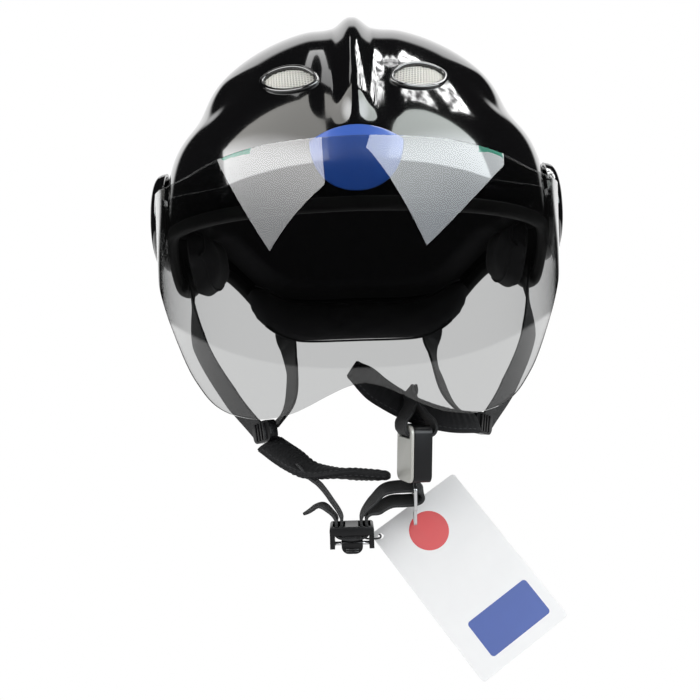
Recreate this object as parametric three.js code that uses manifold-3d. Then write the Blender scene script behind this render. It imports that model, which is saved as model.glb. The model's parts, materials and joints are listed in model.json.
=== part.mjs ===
// Open-face paramotor helmet: keeled glossy shell, padded lining, clear flip-up visor,
// four-point chin strap lying unfastened, and a swing tag.
// Millimetres, +Z up. The face looks along -Y and the wearer's left is +X.
// The origin is midway between the two visor pivots, inside the wearer's head.
import * as THREE from "three";
import { mergeVertices } from "three/addons/utils/BufferGeometryUtils.js";
import Module from "manifold-3d";

const wasm = await Module();
wasm.setup();

// General clearances
const GAP = 0.3;
const SOFT_GAP = 0.4;
const SEAT_GAP = 1;
const OVERRUN = 12;
const WELD = 0.001;
const SEARCH_STEPS = 40;
const SEARCH_DEGREES = [-70, 80];

// Shell
const SHELL_HALF_WIDTH = 118.5;
const SHELL_FRONT = 127;
const SHELL_BACK = 128;
const SHELL_TOP = 116;
const SHELL_LOW = 150;
const SHELL_CENTRE_Y = 2;
const SHELL_WALL = 2.6;
const KEEL_HEIGHT = 5;
const KEEL_TOP_HALF = 1;
const KEEL_HALF_WIDTH = 12;
const KEEL_FADE_LOW = 34;
const KEEL_FADE_HIGH = 56;
const VALLEY_DEPTH = 1.2;
const VALLEY_PLACE = 16;
const VALLEY_SPREAD = 8;
const WAIST_DEPTH = 4.6;
const WAIST_ELEVATION_DEGREES = 31;
const WAIST_SPREAD_DEGREES = 8.5;
const WAIST_FADE_IN_DEGREES = [30, 55];
const WAIST_FADE_OUT_DEGREES = [125, 165];
const ENVELOPE_ROWS = 18;
const FINE_ENVELOPE_ROWS = 26;
const ENVELOPE_LOW_DEGREES = -75;
const NADIR_DEGREES = -89.9;

// Shell edge heights, from the brow round the ear flap to the nape
const BROW_Z = -6;
const BROW_CORNER_Z = -15;
const FLAP_Z = -45;
const EAR_NOTCH_Z = -32;
const NAPE_Z = -75;

// Edge trim
const TRIM_WALL = 1.3;
const TRIM_LEG = 5.5;
const TRIM_BEAD_SHARE = 1.6;

// Vents
const VENT_AZIMUTH_DEGREES = 20.5;
const VENT_ELEVATION_DEGREES = 33.5;
const VENT_TURN_DEGREES = 13;
const VENT_HALF_LENGTH = 16;
const VENT_HALF_HEIGHT = 8;
const VENT_EYE_POINTS = 20;
const VENT_EYE_POWER = 1.15;
const VENT_LIP_WIDTH = 3;
const VENT_LIP_HEIGHT = 1.8;
const VENT_MESH_DEPTH = 0.5;
const VENT_MESH_THICKNESS = 0.8;

// Forehead badge
const BADGE_HALF_WIDTH = 25;
const BADGE_HEIGHT = 36;
const BADGE_Z = 20;
const BADGE_THICKNESS = 1.1;
const BADGE_SHOULDER_SHARE = 0.55;
const BADGE_SIDE_SHARE = 0.2;
const BADGE_FOOT_SHARE = 0.7;

// Lining
const LINER_THICKNESS = 24;
const LINER_BROW_Z = 1;
const LINER_EAR_Z = -10;
const LINER_NAPE_Z = -50;
const PAD_THICKNESS = 8;
const PAD_EDGE = 1.2;
const PAD_EDGE_SHARE = 0.14;
const PAD_GROOVE_SHARE = 0.35;
const PAD_GROOVE_SPREAD_SHARE = 0.25;
const BROW_PAD_HEIGHT = 28;
const BROW_PAD_HALF_DEGREES = 56;
const CROWN_PAD_DEGREES = 30;
const CROWN_PAD_CHANNEL = 2;
const CROWN_GROOVE_SPREAD_SHARE = 0.3;
const EAR_PAD_THICKNESS = 21;
const EAR_PAD_DEGREES = [73, 113];
const EAR_PAD_DROP = 3.5;
const NECK_ROLL_THICKNESS = 20;
const NECK_ROLL_DEGREES = [131, 229];
const NECK_ROLL_Z = -80;
const NECK_ROLL_SEAT = 2.5;
const NECK_ROLL_END_SHARE = 0.15;
const NECK_ROLL_LOW_SHARE = 0.9;

// Visor
const VISOR_SIDE_STAND = 4.7;
const VISOR_FRONT_STAND = 18;
const VISOR_HALF_WIDTH = SHELL_HALF_WIDTH + VISOR_SIDE_STAND;
const VISOR_DEPTH = SHELL_FRONT + VISOR_FRONT_STAND;
const VISOR_THICKNESS = 2.2;
const VISOR_BULGE_RADIUS = 700;
const VISOR_SIDE_RADIUS = 1400;
const VISOR_BULGE_Z = -30;
const VISOR_ROUND_SHARE = 2.2;
const VISOR_TAB_BACK = 17;
const VISOR_TAB_HALF = 14;
const VISOR_TAB_TURN_DEGREES = 76;
const VISOR_TAB_STEPS = 4;
const VISOR_TOP_Z = 28;
const VISOR_NOSE_Z = -96.5;
const VISOR_CORNER_Z = -114.5;

// Visor pivots
const BASE_RADIUS = 11;
const BASE_DEPTH = 5;
const TURNING_GAP = 0.8;
const BARREL_RADIUS = 3.7;
const NUT_SEAT_GAP = 1.3;
const FLANGE_RADIUS = 8;
const FLANGE_THICKNESS = 1.4;
const NUT_BORE = 2.4;
const WASHER_RADIUS = 9;
const WASHER_THICKNESS = 0.8;
const SCREW_SHANK = 2.1;
const SCREW_HEAD = 6;
const SCREW_HEAD_HEIGHT = 1.7;
const SCREW_SOCKET = 2;
const SCREW_SOCKET_DEPTH = 1.1;
const COVER_HALF_WIDTH = 25;
const COVER_HALF_HEIGHT = 31;
const COVER_STAND = 5.1;
const COVER_SINK = 0.5;
const COVER_APEX_X = VISOR_HALF_WIDTH + COVER_STAND;
const COVER_WALL = 1.4;
const COVER_SKIRT_X = SHELL_HALF_WIDTH - COVER_SINK;
const COVER_PROFILE_SHARES = [[0, 1], [0.32, 1], [0.66, 0.89], [0.86, 0.69], [0.97, 0.4], [1, 0]];

// Webbing and its anchors
const WEB_WIDTH = 15;
const WEB_THICKNESS = 1.6;
const WEB_FLAT_SHARE = 0.9;
const RIVET_HEAD = 4.8;
const RIVET_HEAD_HEIGHT = 1.4;
const RIVET_SHANK = 2.2;
const FRONT_ANCHOR = { degrees: 94, z: -33.5 };
const REAR_ANCHOR = { degrees: 151, z: -60 };
const RIVET_WEB_END = 6.5;
const RIVET_FLAT = 8;
const LEG_SPLIT = 1.1;
const LEG_WALL_GAP = 1.5;
const FRONT_LEG_SHIFT = 4;
const FRONT_LEG_BOW = 12;
const FRONT_LEG_BEND_SHARES = [[0.45, 1], [0.8, 0.6]];
const REAR_LEG_SHIFT = -2;
const REAR_LEG_WALL_DROPS = [16, 24];
const REAR_LEG_SPREAD = 4;
const REAR_LEG_SAG = 8;
const REAR_LEG_BOW = 9;
const REAR_LEG_BEND_SHARES = [[0.5, 1], [0.8, 0.5]];
const FRONT_LEG_WIDTH_SHARES = [0.45, 0.9, 0];
const REAR_LEG_WIDTH_SHARES = [0.44, 0.31, -0.83];

// Strap dividers
const DIVIDER_PLACES = {
  right: new THREE.Vector3(56, -76, -126),
  left: new THREE.Vector3(66, -74, -125),
};
const DIVIDER_TURN_DEGREES = 56;
const DIVIDER_LEAN_DEGREES = 12;
const DIVIDER_LENGTH = 20;
const DIVIDER_HEIGHT = 12;
const DIVIDER_THICKNESS = 5;
const DIVIDER_CORNER = 4;
const DIVIDER_RIBBED_SHARE = 0.62;
const DIVIDER_RIB_HEIGHT_SHARE = 0.8;
const DIVIDER_RIB = 1.2;
const DIVIDER_RIB_COUNT = 4;

// Padded chin sleeves
const SLEEVE_WIDTH = 20;
const SLEEVE_THICKNESS = 6.5;
const SLEEVE_END_SHARE = 0.45;
const SLEEVE_SIDE_POWER = 0.7;
const RIGHT_SLEEVE_FULLNESS_SHARES = [0.85, 1, 0.5];
const LEFT_SLEEVE_FULLNESS_SHARES = [0.8, 0.95, 0.55];
const RIGHT_SLEEVE_PLACES = [
  new THREE.Vector3(-54, -80, -132),
  new THREE.Vector3(-43, -88, -139),
  new THREE.Vector3(-31, -94, -146),
  new THREE.Vector3(-17, -98, -147.5),
  new THREE.Vector3(-2, -100, -148.5),
  new THREE.Vector3(13, -102, -149.3),
];
const RIGHT_SLEEVE_WIDTH_SHARES = [
  [0.3, 0.8, 0.5], [0.3, 0.85, 0.42], [0.1, 0.95, 0.1], [0, 1, -0.3], [0, 1, -0.25],
];
const LEFT_SLEEVE_PLACES = [
  new THREE.Vector3(63, -84, -123.5),
  new THREE.Vector3(46, -90, -121),
  new THREE.Vector3(26, -95, -114),
  new THREE.Vector3(9, -99, -103.5),
  new THREE.Vector3(0, -102, -95.5),
  new THREE.Vector3(-6, -103, -90.5),
];
const LEFT_SLEEVE_WIDTH_SHARES = [[0.1, 0.8, 0.55], [0.2, 0.75, 0.6], [0.35, 0.65, 0.62], [0.45, 0.5, 0.68]];

// Webbing of the chin strap: its places between the sleeve, the strap lock, the tongue and its tail
const WEB_FROM_SLEEVE_PLACES = [
  new THREE.Vector3(-36, -93, -143.5),
  new THREE.Vector3(-31, -96, -149),
  new THREE.Vector3(-25, -99, -154),
  new THREE.Vector3(-19.5, -102, -161),
];
const WEB_TO_TONGUE_STEPS = [
  new THREE.Vector3(-22.5, -2, -2.7),
  new THREE.Vector3(-16, -1, 2.8),
];
const WEB_FROM_TONGUE_STEPS = [
  new THREE.Vector3(-13, -0.5, -4.2),
  new THREE.Vector3(-20.5, -2, -7.7),
];
const WEB_TAIL_PLACES = [
  new THREE.Vector3(-20, -104, -167.5),
  new THREE.Vector3(-25, -101, -165),
  new THREE.Vector3(-32, -98, -167.5),
];
const WEB_LOCK_RISE = 6;
const WEB_TAIL_RISE = 4.8;
const WEB_TONGUE_REACH = 5;
const WEB_LANE_SHARE = 0.9;
const WEB_ROUND_SHARE = 2.75;
const WEB_BAR_SHARES = [[0, 1], [0.77, 0.6], [1, 0], [0.77, -0.6], [0, -1]];
const WEB_REACH_SHARES = [1.13, -1.1];
const WEB_INNER_LOCK_SHARES = [0.5, 0.8];
const WEB_OUTER_LOCK_SHARES = [0.6, 1.05];

// Buckle
const BUCKLE_HEIGHT = 30;
const BUCKLE_MIDDLE_Z = -136;
const BUCKLE_TOP = new THREE.Vector3(27.3, -113, BUCKLE_MIDDLE_Z + BUCKLE_HEIGHT / 2);
const BUCKLE_WIDTH = 21;
const BUCKLE_THICKNESS = 10;
const BUCKLE_TURN_DEGREES = -72;
const BUCKLE_TILT_DEGREES = 2.5;
const BUCKLE_CORNER = 4;
const BUCKLE_FACE_THICKNESS = 1.6;
const BUCKLE_SLOT_HEIGHT = 3.4;
const BUCKLE_SLOT_WIDTH = 16;
const BUCKLE_SLOT_DROP = 3.4;
const BUCKLE_MOUTH_WIDTH = 15;
const BUCKLE_MOUTH_THICKNESS = 2.6;
const BUCKLE_MOUTH_DEPTH = 13;
const BUTTON_WIDTH = 10;
const BUTTON_LENGTH = 12;
const BUTTON_STAND = 1.2;
const BUTTON_TRAVEL = 1;
const BUTTON_THICKNESS = 1.4;
const BUTTON_DROP = 14;
const BUCKLE_WEB_RISES = [18, 12, 6, 1.5];
const BUCKLE_WEB_SHIFTS = [-11, -8, -3, -1];
const BUCKLE_WEB_REACH_SHARES = [0.55, 0.95, 0.75];
const SPRING_RADIUS = 2.2;
const SPRING_WIRE = 0.25;
const SPRING_TURN_COUNT = 2;
const SPRING_TURN_STEPS = 8;
const SPRING_SIDES = 5;

// Tongue
const TONGUE_TOP = 7;
const TONGUE_CLEARANCE = 1.3;
const TONGUE_BAR = new THREE.Vector3(26, -102, BUCKLE_TOP.z - BUCKLE_HEIGHT - TONGUE_CLEARANCE - TONGUE_TOP);
const TONGUE_TILT_DEGREES = 15;
const TONGUE_WIDTH = 19;
const TONGUE_THICKNESS = 1.6;
const TONGUE_DROP = 17;
const TONGUE_BLADE_WIDTH = 13;
const TONGUE_SLOT_WIDTH = 16.4;
const TONGUE_SLOT_INNER = 1.9;
const TONGUE_SLOT_OUTER = 5.6;
const TONGUE_CORNER = 2;
const TONGUE_BLADE_CORNER = 3;
const TONGUE_LAP = 2;
const TONGUE_CATCH_WIDTH = 5.85;
const TONGUE_CATCH_HEIGHT = 3.2;
const TONGUE_CATCH_RISE = 6;

// Strap lock
const LOCK = new THREE.Vector3(-8.6, -106, -176.4);
const LOCK_WIDTH = 23.6;
const LOCK_DEPTH = 20;
const LOCK_HEIGHT = 4.5;
const LOCK_ARM_HEIGHT = 7.6;
const LOCK_ARM_DEPTH = 15;
const LOCK_ARM_WIDTH = 2.6;
const LOCK_PASS = 6.8;
const LOCK_TAB_WIDTH = 11.5;
const LOCK_TAB_DROP = 5.6;
const LOCK_TAB_BARREL = 2;
const LOCK_TAB_RIB = 0.7;
const LOCK_TAB_RIB_COUNT = 2;
const LOCK_TAB_RIB_HALF = 3.45;
const LOCK_TAB_CORNER = 4;
const LOCK_PIN_DROP = 8.2;
const LOCK_EYELET_RADIUS = 1.3;
const LOCK_TAB_THICKNESS = 3.2;
const LOCK_PIN_RADIUS = 1.1;
const LOCK_CORNER = 1.6;
const LOCK_LANE_WIDTH = 6.72;

// Swing tag
const TAG_LENGTH = 98;
const TAG_WIDTH = 58;
const TAG_THICKNESS = 0.8;
const TAG_CORNER = 2;
const TAG_HOLE_RADIUS = 1.6;
const TAG_HOLE_INSET = 4;
const TAG_TURN_DEGREES = 35;
const TAG_TILT_DEGREES = 24;
const CORD_RADIUS = 0.5;
const CORD_CENTRE = new THREE.Vector3(2.6, -94, -183.6);
const CORD_HALF_WIDTH = 4.6;
const CORD_HALF_DEPTH = 7;
const CORD_SQUARE_SHARE = 2.8;

// Helpers: angles, solids and booleans
const radians = THREE.MathUtils.degToRad;
const smooth = (from, to, value) => THREE.MathUtils.smoothstep(value, from, to);
const vec = (x, y, z) => new THREE.Vector3(x, y, z);
const SIDES = [
  { name: "right", sign: -1 },
  { name: "left", sign: 1 },
];

function solidOf(geometry) {
  const bare = geometry.clone();
  bare.deleteAttribute("normal");
  bare.deleteAttribute("uv");
  const merged = mergeVertices(bare, WELD);
  return new wasm.Manifold(new wasm.Mesh({
    numProp: 3,
    vertProperties: new Float32Array(merged.attributes.position.array),
    triVerts: new Uint32Array(merged.index.array),
  }));
}

function geometryOf(solid) {
  const mesh = solid.getMesh();
  const geometry = new THREE.BufferGeometry();
  geometry.setAttribute("position", new THREE.BufferAttribute(new Float32Array(mesh.vertProperties), 3));
  geometry.setIndex(new THREE.BufferAttribute(new Uint32Array(mesh.triVerts), 1));
  geometry.computeVertexNormals();
  return geometry;
}

function indexed(points, faces) {
  const geometry = new THREE.BufferGeometry();
  const flat = points.flatMap((p) => [p.x, p.y, p.z]);
  geometry.setAttribute("position", new THREE.Float32BufferAttribute(flat, 3));
  const volume = faces.reduce((sum, [a, b, c]) => {
    const cross = points[b].clone().cross(points[c]);
    return sum + points[a].dot(cross);
  }, 0);
  const turned = volume < 0 ? faces.map(([a, b, c]) => [a, c, b]) : faces;
  geometry.setIndex(turned.flat());
  geometry.computeVertexNormals();
  return geometry;
}

// A closed skin through equal rings of points. It ends in caps, or joins its ends when closed is set.
function loft(rings, closed = false) {
  const size = rings[0].length;
  const points = rings.flat();
  const faces = [];
  const last = closed ? rings.length : rings.length - 1;
  for (let i = 0; i < last; i += 1) {
    const row = i * size;
    const next = ((i + 1) % rings.length) * size;
    for (let j = 0; j < size; j += 1) {
      const k = (j + 1) % size;
      faces.push([row + j, row + k, next + k], [row + j, next + k, next + j]);
    }
  }
  if (!closed) {
    for (const [ring, turn] of [[0, true], [rings.length - 1, false]]) {
      const middle = rings[ring].reduce((sum, p) => sum.add(p), vec(0, 0, 0)).divideScalar(size);
      const hub = points.push(middle) - 1;
      for (let j = 0; j < size; j += 1) {
        const a = ring * size + j;
        const b = ring * size + ((j + 1) % size);
        faces.push(turn ? [hub, b, a] : [hub, a, b]);
      }
    }
  }
  return indexed(points, faces);
}

// A skin between two poles: rings run from the first pole to the last.
function poleSkin(firstPole, rings, lastPole) {
  const size = rings[0].length;
  const points = [...rings.flat(), firstPole, lastPole];
  const faces = [];
  for (let i = 0; i + 1 < rings.length; i += 1) {
    for (let j = 0; j < size; j += 1) {
      const k = (j + 1) % size;
      const row = i * size;
      const next = row + size;
      faces.push([row + j, row + k, next + k], [row + j, next + k, next + j]);
    }
  }
  const end = (rings.length - 1) * size;
  for (let j = 0; j < size; j += 1) {
    const k = (j + 1) % size;
    faces.push([points.length - 2, k, j], [points.length - 1, end + j, end + k]);
  }
  return indexed(points, faces);
}

// A thick sheet from two equal grids of points, its four edges closed.
function sheet(outer, inner) {
  const rows = outer.length;
  const columns = outer[0].length;
  const points = [...outer.flat(), ...inner.flat()];
  const at = (side, i, j) => side * rows * columns + i * columns + j;
  const faces = [];
  for (let i = 0; i + 1 < rows; i += 1) {
    for (let j = 0; j + 1 < columns; j += 1) {
      faces.push([at(0, i, j), at(0, i, j + 1), at(0, i + 1, j + 1)]);
      faces.push([at(0, i, j), at(0, i + 1, j + 1), at(0, i + 1, j)]);
      faces.push([at(1, i, j), at(1, i + 1, j + 1), at(1, i, j + 1)]);
      faces.push([at(1, i, j), at(1, i + 1, j), at(1, i + 1, j + 1)]);
    }
  }
  const rim = [];
  for (let j = 0; j + 1 < columns; j += 1) rim.push([0, j]);
  for (let i = 0; i + 1 < rows; i += 1) rim.push([i, columns - 1]);
  for (let j = columns - 1; j > 0; j -= 1) rim.push([rows - 1, j]);
  for (let i = rows - 1; i > 0; i -= 1) rim.push([i, 0]);
  rim.forEach(([i, j], index) => {
    const [m, n] = rim[(index + 1) % rim.length];
    faces.push([at(0, i, j), at(1, i, j), at(1, m, n)], [at(0, i, j), at(1, m, n), at(0, m, n)]);
  });
  return indexed(points, faces);
}

// A round bar along X at a place, from one X to another
function barX(radius, fromX, toX, y = 0, z = 0, sides = 16) {
  const geometry = new THREE.CylinderGeometry(radius, radius, Math.abs(toX - fromX), sides);
  geometry.rotateZ(radians(90));
  geometry.translate((fromX + toX) / 2, y, z);
  return solidOf(geometry);
}

// The biggest of the bodies that a cut leaves
function largest(solid) {
  return solid.decompose().reduce((best, body) => (body.volume() > best.volume() ? body : best));
}

const mirrored = (solid, sign) => (sign < 0 ? solid.mirror([1, 0, 0]) : solid);

function block(width, depth, height, x = 0, y = 0, z = 0) {
  return solidOf(new THREE.BoxGeometry(width, depth, height).translate(x, y, z));
}

// A plate cut from a rounded rectangle in X and Z, thick along Y, centred on the origin
function roundedPlate(width, height, thickness, corner, steps = 3) {
  const shape = new THREE.Shape();
  const w = width / 2;
  const h = height / 2;
  shape.moveTo(w - corner, -h);
  shape.absarc(w - corner, corner - h, corner, -Math.PI / 2, 0);
  shape.absarc(w - corner, h - corner, corner, 0, Math.PI / 2);
  shape.absarc(corner - w, h - corner, corner, Math.PI / 2, Math.PI);
  shape.absarc(corner - w, corner - h, corner, Math.PI, Math.PI * 1.5);
  const plate = new THREE.ExtrudeGeometry(shape, {
    depth: thickness, bevelEnabled: false, curveSegments: steps,
  });
  plate.translate(0, 0, -thickness / 2);
  plate.rotateX(radians(90));
  return solidOf(plate);
}

// The shell's surface, as a distance from its centre along a direction

function unitDirection(azimuth, elevation) {
  const level = Math.cos(elevation);
  return vec(level * Math.sin(azimuth), -level * Math.cos(azimuth), Math.sin(elevation));
}

function shellRadius(direction, plain) {
  const length = direction.y < 0 ? SHELL_FRONT : SHELL_BACK;
  const height = direction.z > 0 ? SHELL_TOP : SHELL_LOW;
  let radius = 1 / Math.hypot(direction.x / SHELL_HALF_WIDTH, direction.y / length, direction.z / height);
  const elevation = THREE.MathUtils.radToDeg(Math.asin(THREE.MathUtils.clamp(direction.z, -1, 1)));
  const azimuth = THREE.MathUtils.radToDeg(Math.abs(Math.atan2(direction.x, -direction.y)));
  const across = Math.abs(radius * direction.x);
  const up = radius * direction.z;
  const waist = Math.exp(-(((elevation - WAIST_ELEVATION_DEGREES) / WAIST_SPREAD_DEGREES) ** 2))
    * smooth(WAIST_FADE_IN_DEGREES[0], WAIST_FADE_IN_DEGREES[1], azimuth)
    * (1 - smooth(WAIST_FADE_OUT_DEGREES[0], WAIST_FADE_OUT_DEGREES[1], azimuth));
  radius -= WAIST_DEPTH * waist;
  if (!plain) {
    const keel = KEEL_HEIGHT * (1 - smooth(KEEL_TOP_HALF, KEEL_HALF_WIDTH, across))
      - VALLEY_DEPTH * Math.exp(-(((across - VALLEY_PLACE) / VALLEY_SPREAD) ** 2));
    radius += keel * smooth(KEEL_FADE_LOW, KEEL_FADE_HIGH, up);
  }
  return radius;
}

function shellPoint(azimuth, elevation, inset = 0, plain = false) {
  const direction = unitDirection(azimuth, elevation);
  const point = direction.clone().multiplyScalar(shellRadius(direction, plain) - inset);
  point.y += SHELL_CENTRE_Y;
  return point;
}

// The point of the surface that lies along the line from the shell's centre through a place
function onShell(place, inset = 0, plain = false) {
  const direction = vec(place.x, place.y - SHELL_CENTRE_Y, place.z).normalize();
  const point = direction.clone().multiplyScalar(shellRadius(direction, plain) - inset);
  point.y += SHELL_CENTRE_Y;
  return point;
}

// Elevation at which the surface reaches a height
function elevationAt(azimuth, height, inset = 0, plain = false) {
  let [low, high] = SEARCH_DEGREES.map(radians);
  for (let i = 0; i < SEARCH_STEPS; i += 1) {
    const middle = (low + high) / 2;
    if (shellPoint(azimuth, middle, inset, plain).z < height) low = middle;
    else high = middle;
  }
  return (low + high) / 2;
}

// A smooth monotone-ended curve through rows of [degrees, value]
function edgeCurve(rows) {
  return (degrees) => {
    const d = Math.min(Math.abs(degrees), 360 - Math.abs(degrees));
    let i = rows.findIndex(([at]) => at >= d);
    if (i <= 0) return rows[Math.max(i, 0)][1];
    const [d0, v0] = rows[i - 1];
    const [d1, v1] = rows[i];
    const before = rows[i - 2] ?? [d0 - (d1 - d0), v0];
    const after = rows[i + 1] ?? [d1 + (d1 - d0), v1];
    const m0 = ((v1 - before[1]) / (d1 - before[0])) * (d1 - d0);
    const m1 = ((after[1] - v0) / (after[0] - d0)) * (d1 - d0);
    const t = (d - d0) / (d1 - d0);
    return v0 * (2 * t ** 3 - 3 * t ** 2 + 1) + m0 * (t ** 3 - 2 * t ** 2 + t)
      + v1 * (3 * t ** 2 - 2 * t ** 3) + m1 * (t ** 3 - t ** 2);
  };
}

const mixOf = (a, b, share) => a + (b - a) * share;
const rimHeight = edgeCurve([
  [0, BROW_Z],
  [32, mixOf(BROW_Z, BROW_CORNER_Z, 0.16)],
  [58, mixOf(BROW_Z, BROW_CORNER_Z, 0.6)],
  [69, BROW_CORNER_Z],
  [77, mixOf(BROW_CORNER_Z, FLAP_Z, 0.4)],
  [84, mixOf(BROW_CORNER_Z, FLAP_Z, 0.86)],
  [92, FLAP_Z],
  [102, FLAP_Z],
  [111, mixOf(FLAP_Z, EAR_NOTCH_Z, 0.4)],
  [120, mixOf(FLAP_Z, EAR_NOTCH_Z, 0.9)],
  [127, EAR_NOTCH_Z],
  [134, mixOf(EAR_NOTCH_Z, NAPE_Z, 0.2)],
  [141, mixOf(EAR_NOTCH_Z, NAPE_Z, 0.54)],
  [149, mixOf(EAR_NOTCH_Z, NAPE_Z, 0.91)],
  [160, NAPE_Z],
  [180, NAPE_Z],
]);

const COLUMN_HALF_DEGREES = [
  0, 2.2, 4.6, 7.2, 10.5, 15, 20.5, 27, 35, 43, 51, 59, 66, 72, 77, 81, 85, 90, 97, 104, 110, 116, 122,
  129, 136, 143, 151, 159, 167, 173, 177, 180,
];
const COLUMNS = [...COLUMN_HALF_DEGREES, ...COLUMN_HALF_DEGREES.slice(1, -1).reverse().map((d) => 360 - d)];

// Rings from near the crown down to an edge. The edge lies where the reference surface meets its height.
function domeRings(columns, rows, edge, inset, plain, reference) {
  const bottoms = columns.map((degrees) => elevationAt(radians(degrees), edge(degrees), reference, plain));
  const rings = [];
  for (let i = 1; i <= rows; i += 1) {
    rings.push(columns.map((degrees, j) => {
      const elevation = mixOf(Math.PI / 2, bottoms[j], i / rows);
      return shellPoint(radians(degrees), elevation, inset, plain);
    }));
  }
  return rings;
}

function domeWall(columns, outerRows, innerRows, edge, outerInset, innerInset, plainOuter) {
  const outer = domeRings(columns, outerRows, edge, outerInset, plainOuter, outerInset);
  const inner = domeRings(columns, innerRows, edge, innerInset, true, outerInset).reverse();
  const top = shellPoint(0, Math.PI / 2, outerInset, plainOuter);
  const ceiling = shellPoint(0, Math.PI / 2, innerInset, true);
  return poleSkin(top, [...outer, ...inner], ceiling);
}

// The space inside a dome wall, kept a gap away from it
function hollow(columns, rows, edge, reference, inset) {
  const rings = domeRings(columns, rows, edge, inset, true, reference);
  const floor = vec(0, SHELL_CENTRE_Y, NAPE_Z);
  return solidOf(poleSkin(floor, rings.reverse(), shellPoint(0, Math.PI / 2, inset, true)));
}

// The full closed surface at an offset, used to trim what follows the shell
function envelope(inset, rows = ENVELOPE_ROWS, plain = false) {
  const rings = [];
  for (let i = 1; i < rows; i += 1) {
    const elevation = mixOf(Math.PI / 2, radians(ENVELOPE_LOW_DEGREES), i / rows);
    rings.push(COLUMNS.map((degrees) => shellPoint(radians(degrees), elevation, inset, plain)));
  }
  const top = shellPoint(0, Math.PI / 2, inset, plain);
  const bottom = shellPoint(0, radians(NADIR_DEGREES), inset, plain);
  return solidOf(poleSkin(top, rings, bottom));
}

// Eye-shaped outline of a vent, turned so that its inner corner is the lower one
function eyeOutline(halfLength, halfHeight, turn) {
  const points = [];
  const middle = new THREE.Vector2(0, 0);
  for (let i = 0; i < VENT_EYE_POINTS; i += 1) {
    const t = (i / VENT_EYE_POINTS) * Math.PI * 2;
    const rise = Math.sign(Math.sin(t)) * Math.abs(Math.sin(t)) ** VENT_EYE_POWER;
    points.push(new THREE.Vector2(halfLength * Math.cos(t), halfHeight * rise).rotateAround(middle, turn));
  }
  return new THREE.Shape(points);
}

// A prism through the shell, along the direction of azimuth and elevation
function throughPrism(shape, azimuth, elevation, inward, outward) {
  const prism = new THREE.ExtrudeGeometry(shape, {
    depth: inward + outward, bevelEnabled: false, curveSegments: 5,
  });
  prism.translate(0, 0, -inward);
  const normal = unitDirection(azimuth, elevation);
  const sideways = vec(Math.cos(azimuth), Math.sin(azimuth), 0);
  const upward = normal.clone().cross(sideways);
  prism.applyMatrix4(new THREE.Matrix4().makeBasis(sideways, upward, normal));
  const place = shellPoint(azimuth, elevation);
  prism.translate(place.x, place.y, place.z);
  return solidOf(prism);
}

// Outer shell with its vents, lips and bores

function ventPrism(sign, halfLength, halfHeight) {
  const azimuth = radians(VENT_AZIMUTH_DEGREES) * sign;
  const elevation = radians(VENT_ELEVATION_DEGREES);
  const outline = eyeOutline(halfLength, halfHeight, radians(VENT_TURN_DEGREES) * sign);
  return throughPrism(outline, azimuth, elevation, OVERRUN, OVERRUN);
}

const SHELL_OUTER_ROWS = 13;
const SHELL_INNER_ROWS = 9;
const lipEnvelope = envelope(-VENT_LIP_HEIGHT);

function makeShell() {
  const wall = domeWall(COLUMNS, SHELL_OUTER_ROWS, SHELL_INNER_ROWS, rimHeight, 0, SHELL_WALL, false);
  let shell = solidOf(wall);
  const core = envelope(SHELL_WALL / 2);
  for (const { sign } of SIDES) {
    const lip = ventPrism(sign, VENT_HALF_LENGTH + VENT_LIP_WIDTH, VENT_HALF_HEIGHT + VENT_LIP_WIDTH);
    shell = shell.add(lip.intersect(lipEnvelope).subtract(core));
    shell = shell.subtract(ventPrism(sign, VENT_HALF_LENGTH, VENT_HALF_HEIGHT));
    const bore = BARREL_RADIUS + GAP;
    shell = shell.subtract(barX(bore, sign * (SHELL_HALF_WIDTH - OVERRUN), sign * COVER_APEX_X));
    for (const anchor of [FRONT_ANCHOR, REAR_ANCHOR]) {
      shell = shell.subtract(anchorBar(anchor, sign, RIVET_SHANK + GAP, -OVERRUN, OVERRUN));
    }
  }
  return shell;
}

function makeVentMesh(sign) {
  const outer = envelope(VENT_MESH_DEPTH);
  const inner = envelope(VENT_MESH_DEPTH + VENT_MESH_THICKNESS);
  return ventPrism(sign, VENT_HALF_LENGTH - GAP, VENT_HALF_HEIGHT - GAP).intersect(outer).subtract(inner);
}

function makeBadge() {
  const half = BADGE_HEIGHT / 2;
  const side = BADGE_HALF_WIDTH;
  const foot = side * BADGE_FOOT_SHARE;
  const shoulder = half * BADGE_SHOULDER_SHARE;
  const shape = new THREE.Shape();
  shape.moveTo(0, -half);
  shape.bezierCurveTo(foot, -half, side, -half * BADGE_SIDE_SHARE, side, shoulder);
  shape.quadraticCurveTo(side * BADGE_SHOULDER_SHARE, half, 0, half);
  shape.quadraticCurveTo(-side * BADGE_SHOULDER_SHARE, half, -side, shoulder);
  shape.bezierCurveTo(-side, -half * BADGE_SIDE_SHARE, -foot, -half, 0, -half);
  const elevation = elevationAt(0, BADGE_Z);
  const prism = throughPrism(shape, 0, elevation, OVERRUN, OVERRUN);
  const face = envelope(-GAP - BADGE_THICKNESS, FINE_ENVELOPE_ROWS);
  return prism.intersect(face).subtract(envelope(-GAP, FINE_ENVELOPE_ROWS));
}

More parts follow.
